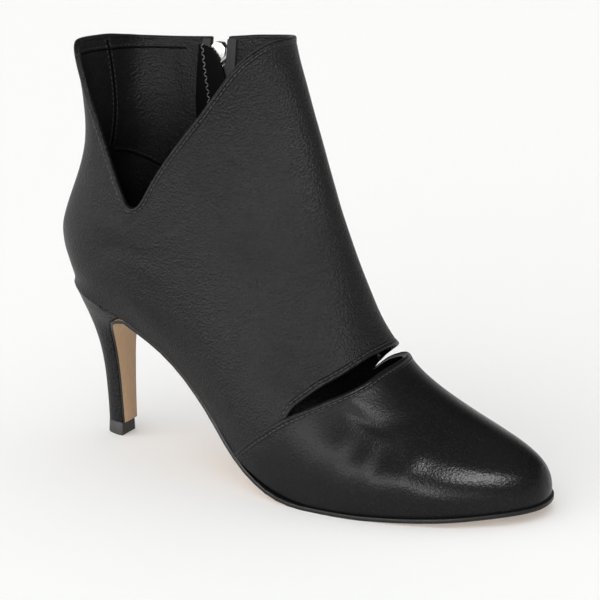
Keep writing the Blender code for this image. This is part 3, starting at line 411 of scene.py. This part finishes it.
def rimLoops(work, kind):
    # closed loops of outer corner points, each with the inner point across the wall
    inner = [v.co for v in work.verts
             if {kind[f] for f in v.link_faces} >= {"inner", "rim"}]
    edges = [e for e in work.edges if {kind[f] for f in e.link_faces} == {"outer", "rim"}]
    ends = {}
    for edge in edges:
        for vert in edge.verts:
            ends.setdefault(vert, []).append(edge)
    loops, used = [], set()
    for edge in edges:
        if edge in used:
            continue
        used.add(edge)
        loop = [edge.verts[0], edge.verts[1]]
        while True:
            onward = [e for e in ends[loop[-1]] if e not in used]
            if not onward:
                break
            used.add(onward[0])
            loop.append(onward[0].other_vert(loop[-1]))
        loops.append([(v.co.copy(), min(inner, key=lambda c: (c - v.co).length).copy()) for v in loop])
    return loops


edgeSizes = {
    "collar": 1.0, "vamp": 1.25, "lip": 1.1,      # how wide each folded edge is, as a share of foldSizes
    "groove": 1.55,           # mm from the edge to its stitches
    "step": 0.8,              # mm between the sections of a fold
    "closest": 0.15,          # mm, points of a curve nearer than this are left out
    "look": 1.5,              # mm out from the edge, to see on which side the leather lies
    "sole": 1.1,              # mm, nearer than this to sole or heel an edge belongs to the seam line
    "toe": 190,               # mm forward, beyond which a loop is the vamp's
    "clear": 2.2,             # mm between the lip and the vamp's edge where the slit starts
}


def cornerSpline(points, closed, perSpan=4):
    # the curve that the subdivided edge follows: a cubic B-spline that is held at sharp corners
    ring = list(points)
    if closed:
        ring = ring[:-1]
    count = len(ring)
    knots = []
    for k in range(count):
        before, after = ring[k - 1], ring[(k + 1) % count]
        held = not closed and k in (0, count - 1)
        if not held:
            a, b = ring[k][0] - before[0], after[0] - ring[k][0]
            held = a.length > 0 and b.length > 0 and a.angle(b) > math.radians(upperSizes["corner"])
        knots += [ring[k]] * (3 if held else 1)
    if closed:
        knots = [knots[-1]] + knots + knots[:2]
    out = []
    for k in range(len(knots) - 3):
        four = knots[k:k + 4]
        for step in range(perSpan):
            t = step / perSpan
            weights = ((1 - t) ** 3, 3 * t ** 3 - 6 * t * t + 4, -3 * t ** 3 + 3 * t * t + 3 * t + 1, t ** 3)
            pair = [sum((four[m][side] * weights[m] for m in range(4)), Vector()) / 6 for side in (0, 1)]
            if not out or (pair[0] - out[-1][0]).length > edgeSizes["closest"] * mm:
                out.append(tuple(pair))
    if not closed:
        out.append(knots[-1])
    return out


def evenly(pairs, step, closed):
    # the same curve with points a fixed step apart
    line = pairs + pairs[:1] if closed else pairs
    out, left = [line[0]], step
    for (a, c), (b, d) in zip(line, line[1:]):
        span = (b - a).length
        done = 0.0
        while span - done >= left and span > 0:
            done += left
            out.append((a.lerp(b, done / span), c.lerp(d, done / span)))
            left = step
        left -= span - done
    return out


def edgeFrames(pairs, closed, surface):
    # at each point of an edge: place, direction, wall direction and the way out of the leather
    frames = []
    count = len(pairs)
    for k in range(count):
        if closed:
            ahead, behind = pairs[(k + 1) % count][0], pairs[k - 1][0]
        else:
            ahead, behind = pairs[min(k + 1, count - 1)][0], pairs[max(k - 1, 0)][0]
        run = (ahead - behind).normalized()
        outer, inner = pairs[k]
        wall = outer - inner
        wall = (wall - run * wall.dot(run)).normalized()
        away = run.cross(wall)
        reach = edgeSizes["look"] * mm
        gap = [(surface.find_nearest(outer + away * reach * side)[0] - (outer + away * reach * side)).length
               for side in (1, -1)]
        if gap[0] < gap[1]:
            away = -away
        frames.append([outer, run, wall, away])
    flips = sum(1 for a, b in zip(frames, frames[1:]) if a[3].dot(b[3]) < 0)
    if flips:
        # one side wins all along the edge
        sides = [1 if f[1].cross(f[2]).dot(f[3]) > 0 else -1 for f in frames]
        side = 1 if sum(sides) > 0 else -1
        for f in frames:
            f[3] = f[1].cross(f[2]) * side
    return frames


def onSurface(surface, point, height):
    place, normal, _, _ = surface.find_nearest(point)
    return place + normal * height


foldSizes = {
    # inward from the edge and height over the leather, in mm: a rolled edge, then the stitched groove
    "top": ((2.45, -0.06), (2.2, 0.10), (1.95, 0.20), (1.78, 0.10), (1.7, 0.02), (1.4, 0.02), (1.3, 0.12),
            (1.15, 0.30), (0.7, 0.36), (0.3, 0.30)),
    "rim": ((0.05, 0.12), (0.30, -0.25), (0.34, -1.0), (0.26, -1.75)),    # out of the leather, up its wall
    "back": ((0.0, -2.12), (-0.5, -2.26), (-1.0, -2.22), (-1.25, -1.9)),
    "closing": (-0.9, -0.9),
}


def foldedEdge(name, frames, closed, surface, scale=1.0, whole=True):
    # a turned and stitched edge: the leather rolls over the rim, with the stitches in a groove beside it
    rings = []
    for outer, _, wall, away in frames:
        ring = [onSurface(surface, outer - away * inward * scale * mm, height * mm)
                for inward, height in foldSizes["top"]]
        rim = foldSizes["rim"] + foldSizes["back"] if whole else foldSizes["rim"][:2]
        ring += [outer + away * out * mm + wall * up * mm for out, up in rim + (foldSizes["closing"],)]
        rings.append(ring)
    wide = len(rings[0])
    points = [p for ring in rings for p in ring]
    faces = []
    spans = len(rings) if closed else len(rings) - 1
    for i in range(spans):
        j = (i + 1) % len(rings)
        for k in range(wide):
            m = (k + 1) % wide
            faces.append((i * wide + k, i * wide + m, j * wide + m, j * wide + k))
    if not closed:
        faces.append(tuple(range(wide)))
        last = (len(rings) - 1) * wide
        faces.append(tuple(last + k for k in reversed(range(wide))))
    return meshPiece(name, points, faces, "fold")


stitch = {"length": 1.9, "width": 0.5, "height": 0.42, "pitch": 2.4, "lift": 0.04}      # mm


def stitchShape():
    # one stitch: a flattened bead, pinched where the thread dives into the leather
    bpy.ops.object.select_all(action="DESELECT")
    bpy.ops.mesh.primitive_uv_sphere_add(segments=8, ring_count=6, radius=0.5, rotation=(0, math.pi / 2, 0))
    shape = bpy.context.active_object
    bpy.ops.object.transform_apply(location=True, rotation=True, scale=True)
    shape.scale = (stitch["length"] * mm, stitch["width"] * mm, stitch["height"] * mm)
    bpy.ops.object.transform_apply(location=False, rotation=False, scale=True)
    points = [v.co.copy() for v in shape.data.vertices]
    faces = [tuple(p.vertices) for p in shape.data.polygons]
    bpy.data.objects.remove(shape, do_unlink=True)
    return points, faces


def sewn(name, rows, threadName="thread"):
    # all the stitches of some rows, as one piece; each row is a list of (place, direction, normal)
    shape, shapeFaces = stitchShape()
    points, faces = [], []
    for row in rows:
        for place, run, normal in row:
            across = normal.cross(run).normalized()
            ahead = across.cross(normal).normalized()
            base = len(points)
            seat = place + normal * stitch["lift"] * mm
            points += [seat + ahead * p.x + across * p.y + normal * p.z for p in shape]
            faces += [tuple(base + k for k in face) for face in shapeFaces]
    return meshPiece(name, points, faces, threadName)


def stitchRow(frames, surface, inward):
    row = []
    for outer, run, _, away in frames:
        place, normal, _, _ = surface.find_nearest(outer - away * inward * mm)
        row.append((place, run, normal))
    return row


def makeUpper():
    piece = copyNode("upper", "upper_leather")
    work = bmesh.new()
    work.from_mesh(piece.data)
    kind = partFaces(work)
    loops = rimLoops(work, kind)
    sides = list(kind.values())
    counts = {side: sides.count(side) for side in ("outer", "inner", "rim")}
    print("upper faces", counts, "loops", [len(loop) for loop in loops])
    for side in ("outer", "inner"):
        loose = [v for v in work.verts if all(kind[f] == side for f in v.link_faces) and inHeelArea(v.co)]
        for _ in range(upperSizes["relax"]):
            bmesh.ops.smooth_vert(work, verts=loose, factor=0.5,
                                  use_axis_x=True, use_axis_y=True, use_axis_z=True)
    front, top = upperSizes["heelArea"][0][1] * mm, upperSizes["softBelow"] * mm
    creaseLayer = work.edges.layers.float.get("crease_edge") or work.edges.layers.float.new("crease_edge")
    for edge in work.edges:
        turned = {kind[f] for f in edge.link_faces}
        place = edge.verts[0].co
        if turned in ({"outer"}, {"inner"}) and place.x < front and place.z < top:
            continue
        if len(edge.link_faces) == 2 and edge.calc_face_angle(0) > math.radians(upperSizes["sharp"]):
            edge[creaseLayer] = 1.0
    hold = work.verts.layers.float.get("crease_vert") or work.verts.layers.float.new("crease_vert")
    for vert in work.verts:
        sharp = [e for e in vert.link_edges if e[creaseLayer] > 0]
        if len(sharp) == 2:
            one, two = [(e.other_vert(vert).co - vert.co).normalized() for e in sharp]
            if one.angle(-two) > math.radians(upperSizes["corner"]):
                vert[hold] = 1.0
    for face in work.faces:
        face.material_index = 1 if kind[face] == "inner" else 0
        face.smooth = True
    work.to_mesh(piece.data)
    work.free()
    setMaterials(piece, "upper", "lining")
    applied(piece, "SUBSURF", levels=upperSizes["levels"], render_levels=upperSizes["levels"])
    surface = treeOf(piece)
    placed = []
    for crease in creases:
        middle = Vector(crease["at"]) * mm
        placed.append((crease, middle, Vector(crease["run"]).normalized(), surface.find_nearest(middle)[1]))
    for vertex in piece.data.vertices:
        for crease, middle, run, outward in placed:
            away = vertex.co - middle
            along = away.dot(run) / (crease["along"] * mm)
            across = (away - run * away.dot(run)).length / (crease["wide"] * mm)
            if abs(along) < 2 and across < 3:      # a crease fades out well within these
                vertex.co -= outward * crease["deep"] * mm * math.exp(-along * along - across * across)
    smoothed(piece)
    return piece, loops


upper, loops = makeUpper()
keep(upper, "upper_leather", "upper")
print("stage: upper, triangles about", sum(len(p.vertices) - 2 for p in upper.data.polygons))


def labelLoops():
    # the collar loop is closed and clear of the sole; the others run down to it
    under = [treeOf(nodes[name]) for name in ("outsole", "heel")]
    runs = {"collar": None, "vamp": None, "lip": None}
    halves = [loop for loop in loops if len(loop) > 10 and (loop[0][0] - loop[-1][0]).length > 1 * mm]
    whole = [loop for loop in loops if loop not in halves]
    if len(halves) == 2:
        # the quarter's edge comes in two halves that start at the ridge of the instep
        joined = halves[0][::-1] + halves[1]
        whole.append(joined + joined[:1])
    for loop in whole:
        low = []
        for outer, inner in loop:
            near = min(tree.find_nearest(outer)[3] for tree in under)
            low.append(near < edgeSizes["sole"] * mm)
        if not any(low):
            if runs["collar"] is None or len(loop) > len(runs["collar"]):
                runs["collar"] = loop
            continue
        ring = loop[:-1]
        flags = low[:-1]
        start = next((k for k in range(len(ring)) if flags[k] and not flags[(k + 1) % len(ring)]), None)
        if start is None:
            continue
        run = [ring[start]]
        k = (start + 1) % len(ring)
        while not flags[k]:
            run.append(ring[k])
            k = (k + 1) % len(ring)
        run.append(ring[k])
        toe = max(outer.x for outer, _ in ring)
        name = "vamp" if toe > edgeSizes["toe"] * mm else "lip"
        if runs[name] is None or len(run) > len(runs[name]):
            runs[name] = run
    # the lip is only the stretch that stands clear of the vamp's edge
    least = edgeSizes["clear"] * mm
    clear = [min((outer - other).length for other, _ in runs["vamp"]) > least for outer, _ in runs["lip"]]
    first, last = clear.index(True), len(clear) - clear[::-1].index(True)
    runs["lip"] = runs["lip"][max(first - 1, 0):last + 1]
    print("edges", {name: run and len(run) for name, run in runs.items()})
    return runs


runs = labelLoops()
surface = treeOf(upper)


def makeEdges():
    rows = []
    for name, closed in (("collar", True), ("vamp", False), ("lip", False)):
        pairs = evenly(cornerSpline(runs[name], closed), edgeSizes["step"] * mm, closed)
        if closed:
            pairs = pairs[:-1]
        scale = edgeSizes[name]
        frames = edgeFrames(pairs, closed, surface)
        keep(foldedEdge(name + "_fold", frames, closed, surface, scale, name != "vamp"), "upper_leather")
        spaced = edgeFrames(evenly(pairs, stitch["pitch"] * mm, closed), closed, surface)
        rows.append(stitchRow(spaced, surface, edgeSizes["groove"] * scale))
    keep(sewn("edge_stitching", rows), "upper_leather")
    print("stage: folded edges and", sum(len(row) for row in rows), "stitches")


makeEdges()


# seams of the lining, in mm, as they lie on the inside of the upper
seams = {
    "back": {"width": 1.3, "height": 0.35, "sewn": (-1, 1),
             "points": ((0.5, -3, 178.4), (0.8, -1.3, 172.3), (0.7, 0.3, 165.2), (0.4, 2, 156.7),
                        (-0.1, 3.2, 150.4), (-0.7, 3.8, 144.6), (-2.1, 4.4, 138.2), (-4.3, 5.8, 131.5))},
    "counter": {"width": 1.0, "height": 0.45, "sewn": (1,),
                "points": ((-5, 9.2, 127.9), (-3.6, 12.6, 127.6), (-1.3, 16.4, 126.4), (1.3, 19.2, 124.8),
                           (4.2, 21.5, 123.1), (7.3, 23.3, 121.1), (14, 24.8, 117))},
    "facing": {"width": 0.9, "height": 0.3, "sewn": (1,),
               "points": ((2, -24, 174.5), (-0.6, -17.8, 174.8), (0.1, -7.8, 174.6), (1, 2.3, 174.2),
                          (4.6, 16.4, 173.4), (13.2, 23.2, 173.2), (18.6, 25.1, 173.1), (23, 25.3, 173.2))},
}
seamStep = {"section": 1.2, "beside": 1.35}     # mm between a ridge's sections, and out to its stitches
guardSeam = {
    "pitch": 1.5, "lean": (0.75, 0.85),         # mm, and how far each stitch goes along and across
    "points": ((31.2, 24.5, 175.2), (31.6, 24.5, 170.9), (32.4, 24.4, 165.3), (33.1, 24.4, 160.1),
               (34, 24.4, 155), (34.4, 24.5, 151.1), (34.6, 24.6, 140), (34.2, 24.8, 128)),
}
barTack = {"at": (118.2, 26.1, 46.6), "across": (0.85, 0.1, -0.5), "apart": 1.6, "threads": 7, "pitch": 0.45}


def curveThrough(points, step):
    # an even run of places along a smooth curve between hand-set points
    pairs = [(Vector(p) * mm, Vector(p) * mm) for p in points]
    return [pair[0] for pair in evenly(cornerSpline(pairs, False), step * mm, False)]


def alongSurface(places, tree, shift=0.0):
    # each place dropped to the surface, with the run and the way out; shift moves it sideways in mm
    row = []
    for k, place in enumerate(places):
        run = (places[min(k + 1, len(places) - 1)] - places[max(k - 1, 0)]).normalized()
        onto, normal, _, _ = tree.find_nearest(place)
        if shift:
            onto, normal, _, _ = tree.find_nearest(onto + normal.cross(run) * shift * mm)
        row.append((onto, run, normal))
    return row


ridge = ((-0.5, -0.35), (-0.46, 0.25), (-0.28, 0.75), (0.0, 1.0),     # section, as shares of width and height
         (0.28, 0.75), (0.46, 0.25), (0.5, -0.35))


def piping(name, row, width, height, materialName):
    # a low rounded ridge along a row of places
    points, faces = [], []
    for place, run, normal in row:
        across = normal.cross(run).normalized()
        points += [place + across * side * width * mm + normal * up * height * mm for side, up in ridge]
    wide = len(ridge)
    for k in range(len(row) - 1):
        for m in range(wide):
            n = (m + 1) % wide
            faces.append((k * wide + m, k * wide + n, (k + 1) * wide + n, (k + 1) * wide + m))
    faces += [tuple(range(wide)), tuple((len(row) - 1) * wide + m for m in reversed(range(wide)))]
    return meshPiece(name, points, faces, materialName)


def makeLining():
    rows = []
    for name, seam in seams.items():
        row = alongSurface(curveThrough(seam["points"], seamStep["section"]), surface)
        keep(piping("lining_seam_" + name, row, seam["width"], seam["height"], "lining"), "insole_lining")
        for side in seam["sewn"]:
            places = curveThrough(seam["points"], stitch["pitch"])
            rows.append(alongSurface(places, surface, side * seamStep["beside"]))
    keep(sewn("lining_stitching", rows, "dullThread"), "insole_lining")
    flap = treeOf(nodes["zip_guard"])
    along, aside = guardSeam["lean"]
    zigzag = []
    row = alongSurface(curveThrough(guardSeam["points"], guardSeam["pitch"]), flap)
    for k, (place, run, normal) in enumerate(row):
        side = normal.cross(run) * (aside if k % 2 else -aside)
        zigzag.append((place, (run * along + side).normalized(), normal))
    keep(sewn("guard_zigzag", [zigzag], "greyThread"), "guard_lining")
    middle = Vector(barTack["at"]) * mm
    across = Vector(barTack["across"]).normalized()
    tack = []
    for k in range(barTack["threads"]):
        for part in (-0.5, 0.5):
            up = Vector((0, 0, 1)) * (k - barTack["threads"] / 2) * barTack["pitch"] * mm
            onto, normal, _, _ = surface.find_nearest(middle + up + across * part * barTack["apart"] * mm)
            tack.append((onto, across, normal))
    keep(sewn("bar_tack", [tack], "greyThread"), "upper_leather")
    print("stage: lining seams, guard stitches and the bar tack")


makeLining()


soleSizes = {
    "edge": 0.22, "insoleEdge": 0.4,    # mm, roundings
    "breast": (30, 62),       # x and z in mm, under which the sole is the breast down the heel
    "waist": 60,              # mm forward, up to where the sole rises steeply
    "side": 0.6,              # how far a face may turn sideways, or has to look down, and still be tan
    "down": 0.3,              # how far a face of the waist has to look down
}


def makeSole():
    sole = copyNode("outsole", "outsole_leather")
    softened(sole, soleSizes["edge"])
    setMaterials(sole, "sole", "ink")
    front, top = [v * mm for v in soleSizes["breast"]]
    for face in sole.data.polygons:
        place, normal = face.center, face.normal
        breast = place.x < front and place.z < top
        steep = breast or place.x < soleSizes["waist"] * mm
        flat = abs(normal.y) < soleSizes["side"] if steep else normal.z < -soleSizes["side"]
        face.material_index = 0 if flat and (normal.z < -soleSizes["down"] or breast) else 1
    keep(sole, "outsole_leather", "outsole")
    insole = copyNode("insole", "insole_sock")
    softened(insole, soleSizes["insoleEdge"])
    setMaterials(insole, "lining")
    keep(insole, "insole_lining", "insole")
    print("stage: sole and insole")


heelSizes = {"sharp": 40, "crease": 0.92, "levels": 2, "capEdge": 0.3}      # degrees, share, steps and mm


def makeHeel():
    heel = copyNode("heel", "heel_cover")
    work = bmesh.new()
    work.from_mesh(heel.data)
    layer = work.edges.layers.float.get("crease_edge") or work.edges.layers.float.new("crease_edge")
    for edge in work.edges:
        if len(edge.link_faces) == 2 and edge.calc_face_angle(0) > math.radians(heelSizes["sharp"]):
            edge[layer] = heelSizes["crease"]
    work.to_mesh(heel.data)
    work.free()
    applied(heel, "SUBSURF", levels=heelSizes["levels"], render_levels=heelSizes["levels"])
    smoothed(heel)
    setMaterials(heel, "heel")
    keep(heel, "heel_leather", "heel")
    cap = copyNode("top_piece", "heel_top_piece", False)
    softened(cap, heelSizes["capEdge"])
    setMaterials(cap, "rubber")
    keep(cap, "top_piece_rubber", "top_piece")
    print("stage: heel")


zipSizes = {      # mm, teeth of a medium chain
    "pitch": 2.0, "tooth": (2.6, 1.15, 1.35), "offset": 0.75,
    "hook": 0.45, "inset": 0.15, "head": (1, 0.6, 0.7), "edge": 0.12,       # head as shares of the tooth
}


def toothShape():
    # one cast tooth: a block whose head is drawn in to the hook that meets its neighbours
    bpy.ops.object.select_all(action="DESELECT")
    bpy.ops.mesh.primitive_cube_add(size=1, location=(0, 0, 0))
    tooth = bpy.context.active_object
    tooth.scale = [v * mm for v in zipSizes["tooth"]]
    bpy.ops.object.transform_apply(location=False, rotation=False, scale=True)
    bpy.ops.object.mode_set(mode="EDIT")
    work = bmesh.from_edit_mesh(tooth.data)
    for face in work.faces:
        face.select_set(face.normal.x > 0.9)
    bmesh.update_edit_mesh(tooth.data)
    bpy.ops.mesh.inset(thickness=zipSizes["inset"] * mm)
    bpy.ops.mesh.extrude_region_move(TRANSFORM_OT_translate={"value": (zipSizes["hook"] * mm, 0, 0)})
    bpy.ops.transform.resize(value=zipSizes["head"])
    bpy.ops.object.mode_set(mode="OBJECT")
    applied(tooth, "BEVEL", width=zipSizes["edge"] * mm, segments=1)
    points = [v.co.copy() for v in tooth.data.vertices]
    faces = [tuple(p.vertices) for p in tooth.data.polygons]
    bpy.data.objects.remove(tooth, do_unlink=True)
    return points, faces


def makeTeeth():
    # the chain's strip gives the path: each ring has two corners on either side of its middle line
    work = bmesh.new()
    work.from_mesh(nodes["zip_chain"].data)
    bmesh.ops.remove_doubles(work, verts=work.verts, dist=weld)
    places = sorted((v.co.copy() for v in work.verts), key=lambda p: -p.z)
    work.free()
    top, foot = [sum(group, Vector()) / 4 for group in (places[:4], places[-4:])]
    sides = ([], [])
    for p in places:
        middle = foot.x + (top.x - foot.x) * (p.z - foot.z) / (top.z - foot.z)
        sides[p.x > middle].append(p)
    corners = [side[start::2] for side in sides for start in (0, 1)]
    rings = [(a + b + c + d) / 4 for a, b, c, d in zip(*corners)]
    path = [pair[0] for pair in evenly([(p, p) for p in rings], zipSizes["pitch"] / 2 * mm, False)]
    shape, shapeFaces = toothShape()
    points, faces = [], []
    for k, place in enumerate(path):
        run = (path[min(k + 1, len(path) - 1)] - path[max(k - 1, 0)]).normalized()
        across = run.cross(Vector((0, 1, 0))).normalized() * (1 if k % 2 else -1)      # the rows take turns
        normal = run.cross(across).normalized()
        if normal.y < 0:
            normal = -normal
        centre = place - across * zipSizes["offset"] * mm
        base = len(points)
        points += [centre + across * p.x + run * p.y + normal * p.z for p in shape]
        faces += [tuple(base + m for m in face) for face in shapeFaces]
    return keep(meshPiece("zip_teeth", points, faces, "metal"), "zip_metal", "zip_chain")


def makeZip():
    for nodeName, pieceName, width, finishName, slotName, body in (
            ("zip_tape", "zip_cloth_tape", 0.15, "tape", "tape", "shoe"),
            ("zip_guard", "zip_guard_flap", 0.3, "lining", "guard_lining", "shoe"),
            ("zip_slider", "slider_body", 0.3, "metal", "zip_metal", "shoe"),
            ("zip_pull", "pull_tab", 0.18, "metal", "zip_metal", "zip_pull")):
        piece = copyNode(nodeName, pieceName, False)
        softened(piece, width)
        setMaterials(piece, finishName)
        keep(piece, slotName, nodeName, body=body)
    teeth = makeTeeth()
    print("stage: zip,", len(teeth.data.polygons), "faces in its teeth")


makeSole()
makeHeel()
makeZip()


studio = {
    "table": "#e6e6e5", "glow": 0.15,     # white acrylic sweep
    "tableSize": 30, "tableDrop": 0.05,   # m across, and mm under the heel
    "horizon": 13.0, "overhead": 0.26,    # strength of the room's bright band and of its ceiling
    "band": (0.08, 0.38),                 # how high the band starts to fade and where it ends
    "turn": (-0.33, -0.944, 0.0),         # the side on which the band lies
    "dim": (0.25, 0.95), "behind": 0.05,  # where it dims round the room, and what is left behind the boot
}

# suns: strength, spread in degrees and the side that each comes from
suns = {
    "softbox": {"strength": 0.45, "wide": 100, "from": (-0.30, 0.10, 0.93)},
    "table_light": {"strength": 2.0, "wide": 110, "from": (0.05, -0.1, 1)},     # for the sweep alone
}

# degrees and mm for the place, pixels of the photograph for the rest
view = {"target": (91.5, 0, 75), "distance": 700, "azimuth": 27.5, "elevation": 16.3, "roll": -0.35,
        "focal": 1663, "picture": 600, "aside": 2, "sensor": 36, "nearest": 50}

# soft boxes: place and aim in m, length and width, the way the length runs, and radiance
boxes = {
    "toe_box": {"place": (0.53, -0.20, 0.40), "aim": (0.183, -0.021, 0.019), "size": (0.24, 0.08),
                "along": (0.237, 0.253, -0.107), "radiance": 56.0},
    "shaft_box": {"place": (0.54, -0.92, 0.20), "aim": (0.10, -0.02, 0.12), "size": (0.80, 0.10),
                  "along": (0, 0, 1), "radiance": 16.0},
}


def standing(right, up, back, place):
    # the matrix of a lamp or camera that stands at a place and looks away from back
    turned = Matrix((right, up, back)).transposed().to_4x4()
    turned.translation = place
    return turned


def addLamp(name, kind):
    light = bpy.data.lights.new(name, kind)
    lamp = bpy.data.objects.new(name, light)
    bpy.context.collection.objects.link(lamp)
    return lamp, light


def addSun(name):
    lamp, light = addLamp(name, "SUN")
    light.energy = suns[name]["strength"]
    light.angle = math.radians(suns[name]["wide"])
    lamp.rotation_euler = Vector(suns[name]["from"]).to_track_quat("Z", "Y").to_euler()
    return lamp


def addBox(name, place, aim, size, along, radiance):
    lamp, light = addLamp(name, "AREA")
    light.shape = "RECTANGLE"
    light.size, light.size_y = size
    light.energy = radiance * math.pi * light.size * light.size_y
    back = (Vector(place) - Vector(aim)).normalized()
    right = Vector(along)
    right = (right - back * right.dot(back)).normalized()
    lamp.matrix_world = standing(right, back.cross(right), back, place)
    lamp.visible_camera = False
    return lamp


def makeStudio():
    bpy.ops.object.select_all(action="DESELECT")
    bpy.ops.mesh.primitive_plane_add(size=studio["tableSize"], location=(0, 0, -studio["tableDrop"] * mm))
    floor = bpy.context.active_object
    floor.name = "studio_floor"
    acrylic = newMaterial("white_acrylic", {
        "Base Color": toLinear(studio["table"]), "Roughness": 0.7, "Specular IOR Level": 0.1,
        "Emission Color": (1, 1, 1, 1), "Emission Strength": studio["glow"]})[0]
    floor.data.materials.append(acrylic)
    world = bpy.data.worlds.new("studio_room")
    bpy.context.scene.world = world
    world.use_nodes = True
    tree = world.node_tree
    background = tree.nodes["Background"]
    way = addNode(tree, "ShaderNodeTexCoord", {}).outputs["Generated"]
    parts = addNode(tree, "ShaderNodeSeparateXYZ", {}, [("Vector", way)])
    low, high = studio["band"]
    rise = addNode(tree, "ShaderNodeMapRange", {"From Min": low, "From Max": high,
                                                "To Min": studio["horizon"], "To Max": studio["overhead"]},
                   [("Value", parts.outputs["Z"])])
    side = addNode(tree, "ShaderNodeVectorMath", {"operation": "DOT_PRODUCT"}, [(0, way)])
    side.inputs[1].default_value = Vector(studio["turn"]).normalized()
    low, high = studio["dim"]
    dim = addNode(tree, "ShaderNodeMapRange", {"From Min": low, "From Max": high, "To Min": studio["behind"],
                                               "To Max": 1.0}, [("Value", side.outputs["Value"])])
    level = addNode(tree, "ShaderNodeMath", {"operation": "MULTIPLY"},
                    [(0, rise.outputs["Result"]), (1, dim.outputs["Result"])])
    tree.links.new(level.outputs["Value"], background.inputs["Strength"])
    background.inputs["Color"].default_value = (1, 1, 1, 1)
    addSun("softbox")
    tableOnly = bpy.data.collections.new("table_only")
    tableOnly.objects.link(floor)
    # whitens the sweep and leaves the leather dark
    addSun("table_light").light_linking.receiver_collection = tableOnly
    flagged = bpy.data.collections.new("flagged_off_the_table")
    flagged.objects.link(floor)
    for item in flagged.collection_objects:
        item.light_linking.link_state = "EXCLUDE"
    for name, box in boxes.items():
        addBox(name, **box).light_linking.receiver_collection = flagged
    bpy.context.scene.view_settings.view_transform = "Standard"


def makeCamera():
    azimuth, elevation, roll = [math.radians(view[name]) for name in ("azimuth", "elevation", "roll")]
    back = Vector((math.sin(azimuth) * math.cos(elevation), -math.cos(azimuth) * math.cos(elevation),
                   math.sin(elevation)))
    right = Vector((math.cos(azimuth), math.sin(azimuth), 0))
    up = back.cross(right)
    turnedRight = right * math.cos(roll) - up * math.sin(roll)
    turnedUp = up * math.cos(roll) + right * math.sin(roll)
    data = bpy.data.cameras.new("camera")
    data.sensor_width = view["sensor"]
    data.lens = view["focal"] / view["picture"] * view["sensor"]
    data.shift_x = view["aside"] / view["picture"]
    data.clip_start = view["nearest"] * mm
    camera = bpy.data.objects.new("camera", data)
    bpy.context.collection.objects.link(camera)
    place = (Vector(view["target"]) + back * view["distance"]) * mm
    camera.matrix_world = standing(turnedRight, turnedUp, back, place)
    bpy.context.scene.camera = camera


makeStudio()
makeCamera()
print("stage: studio")
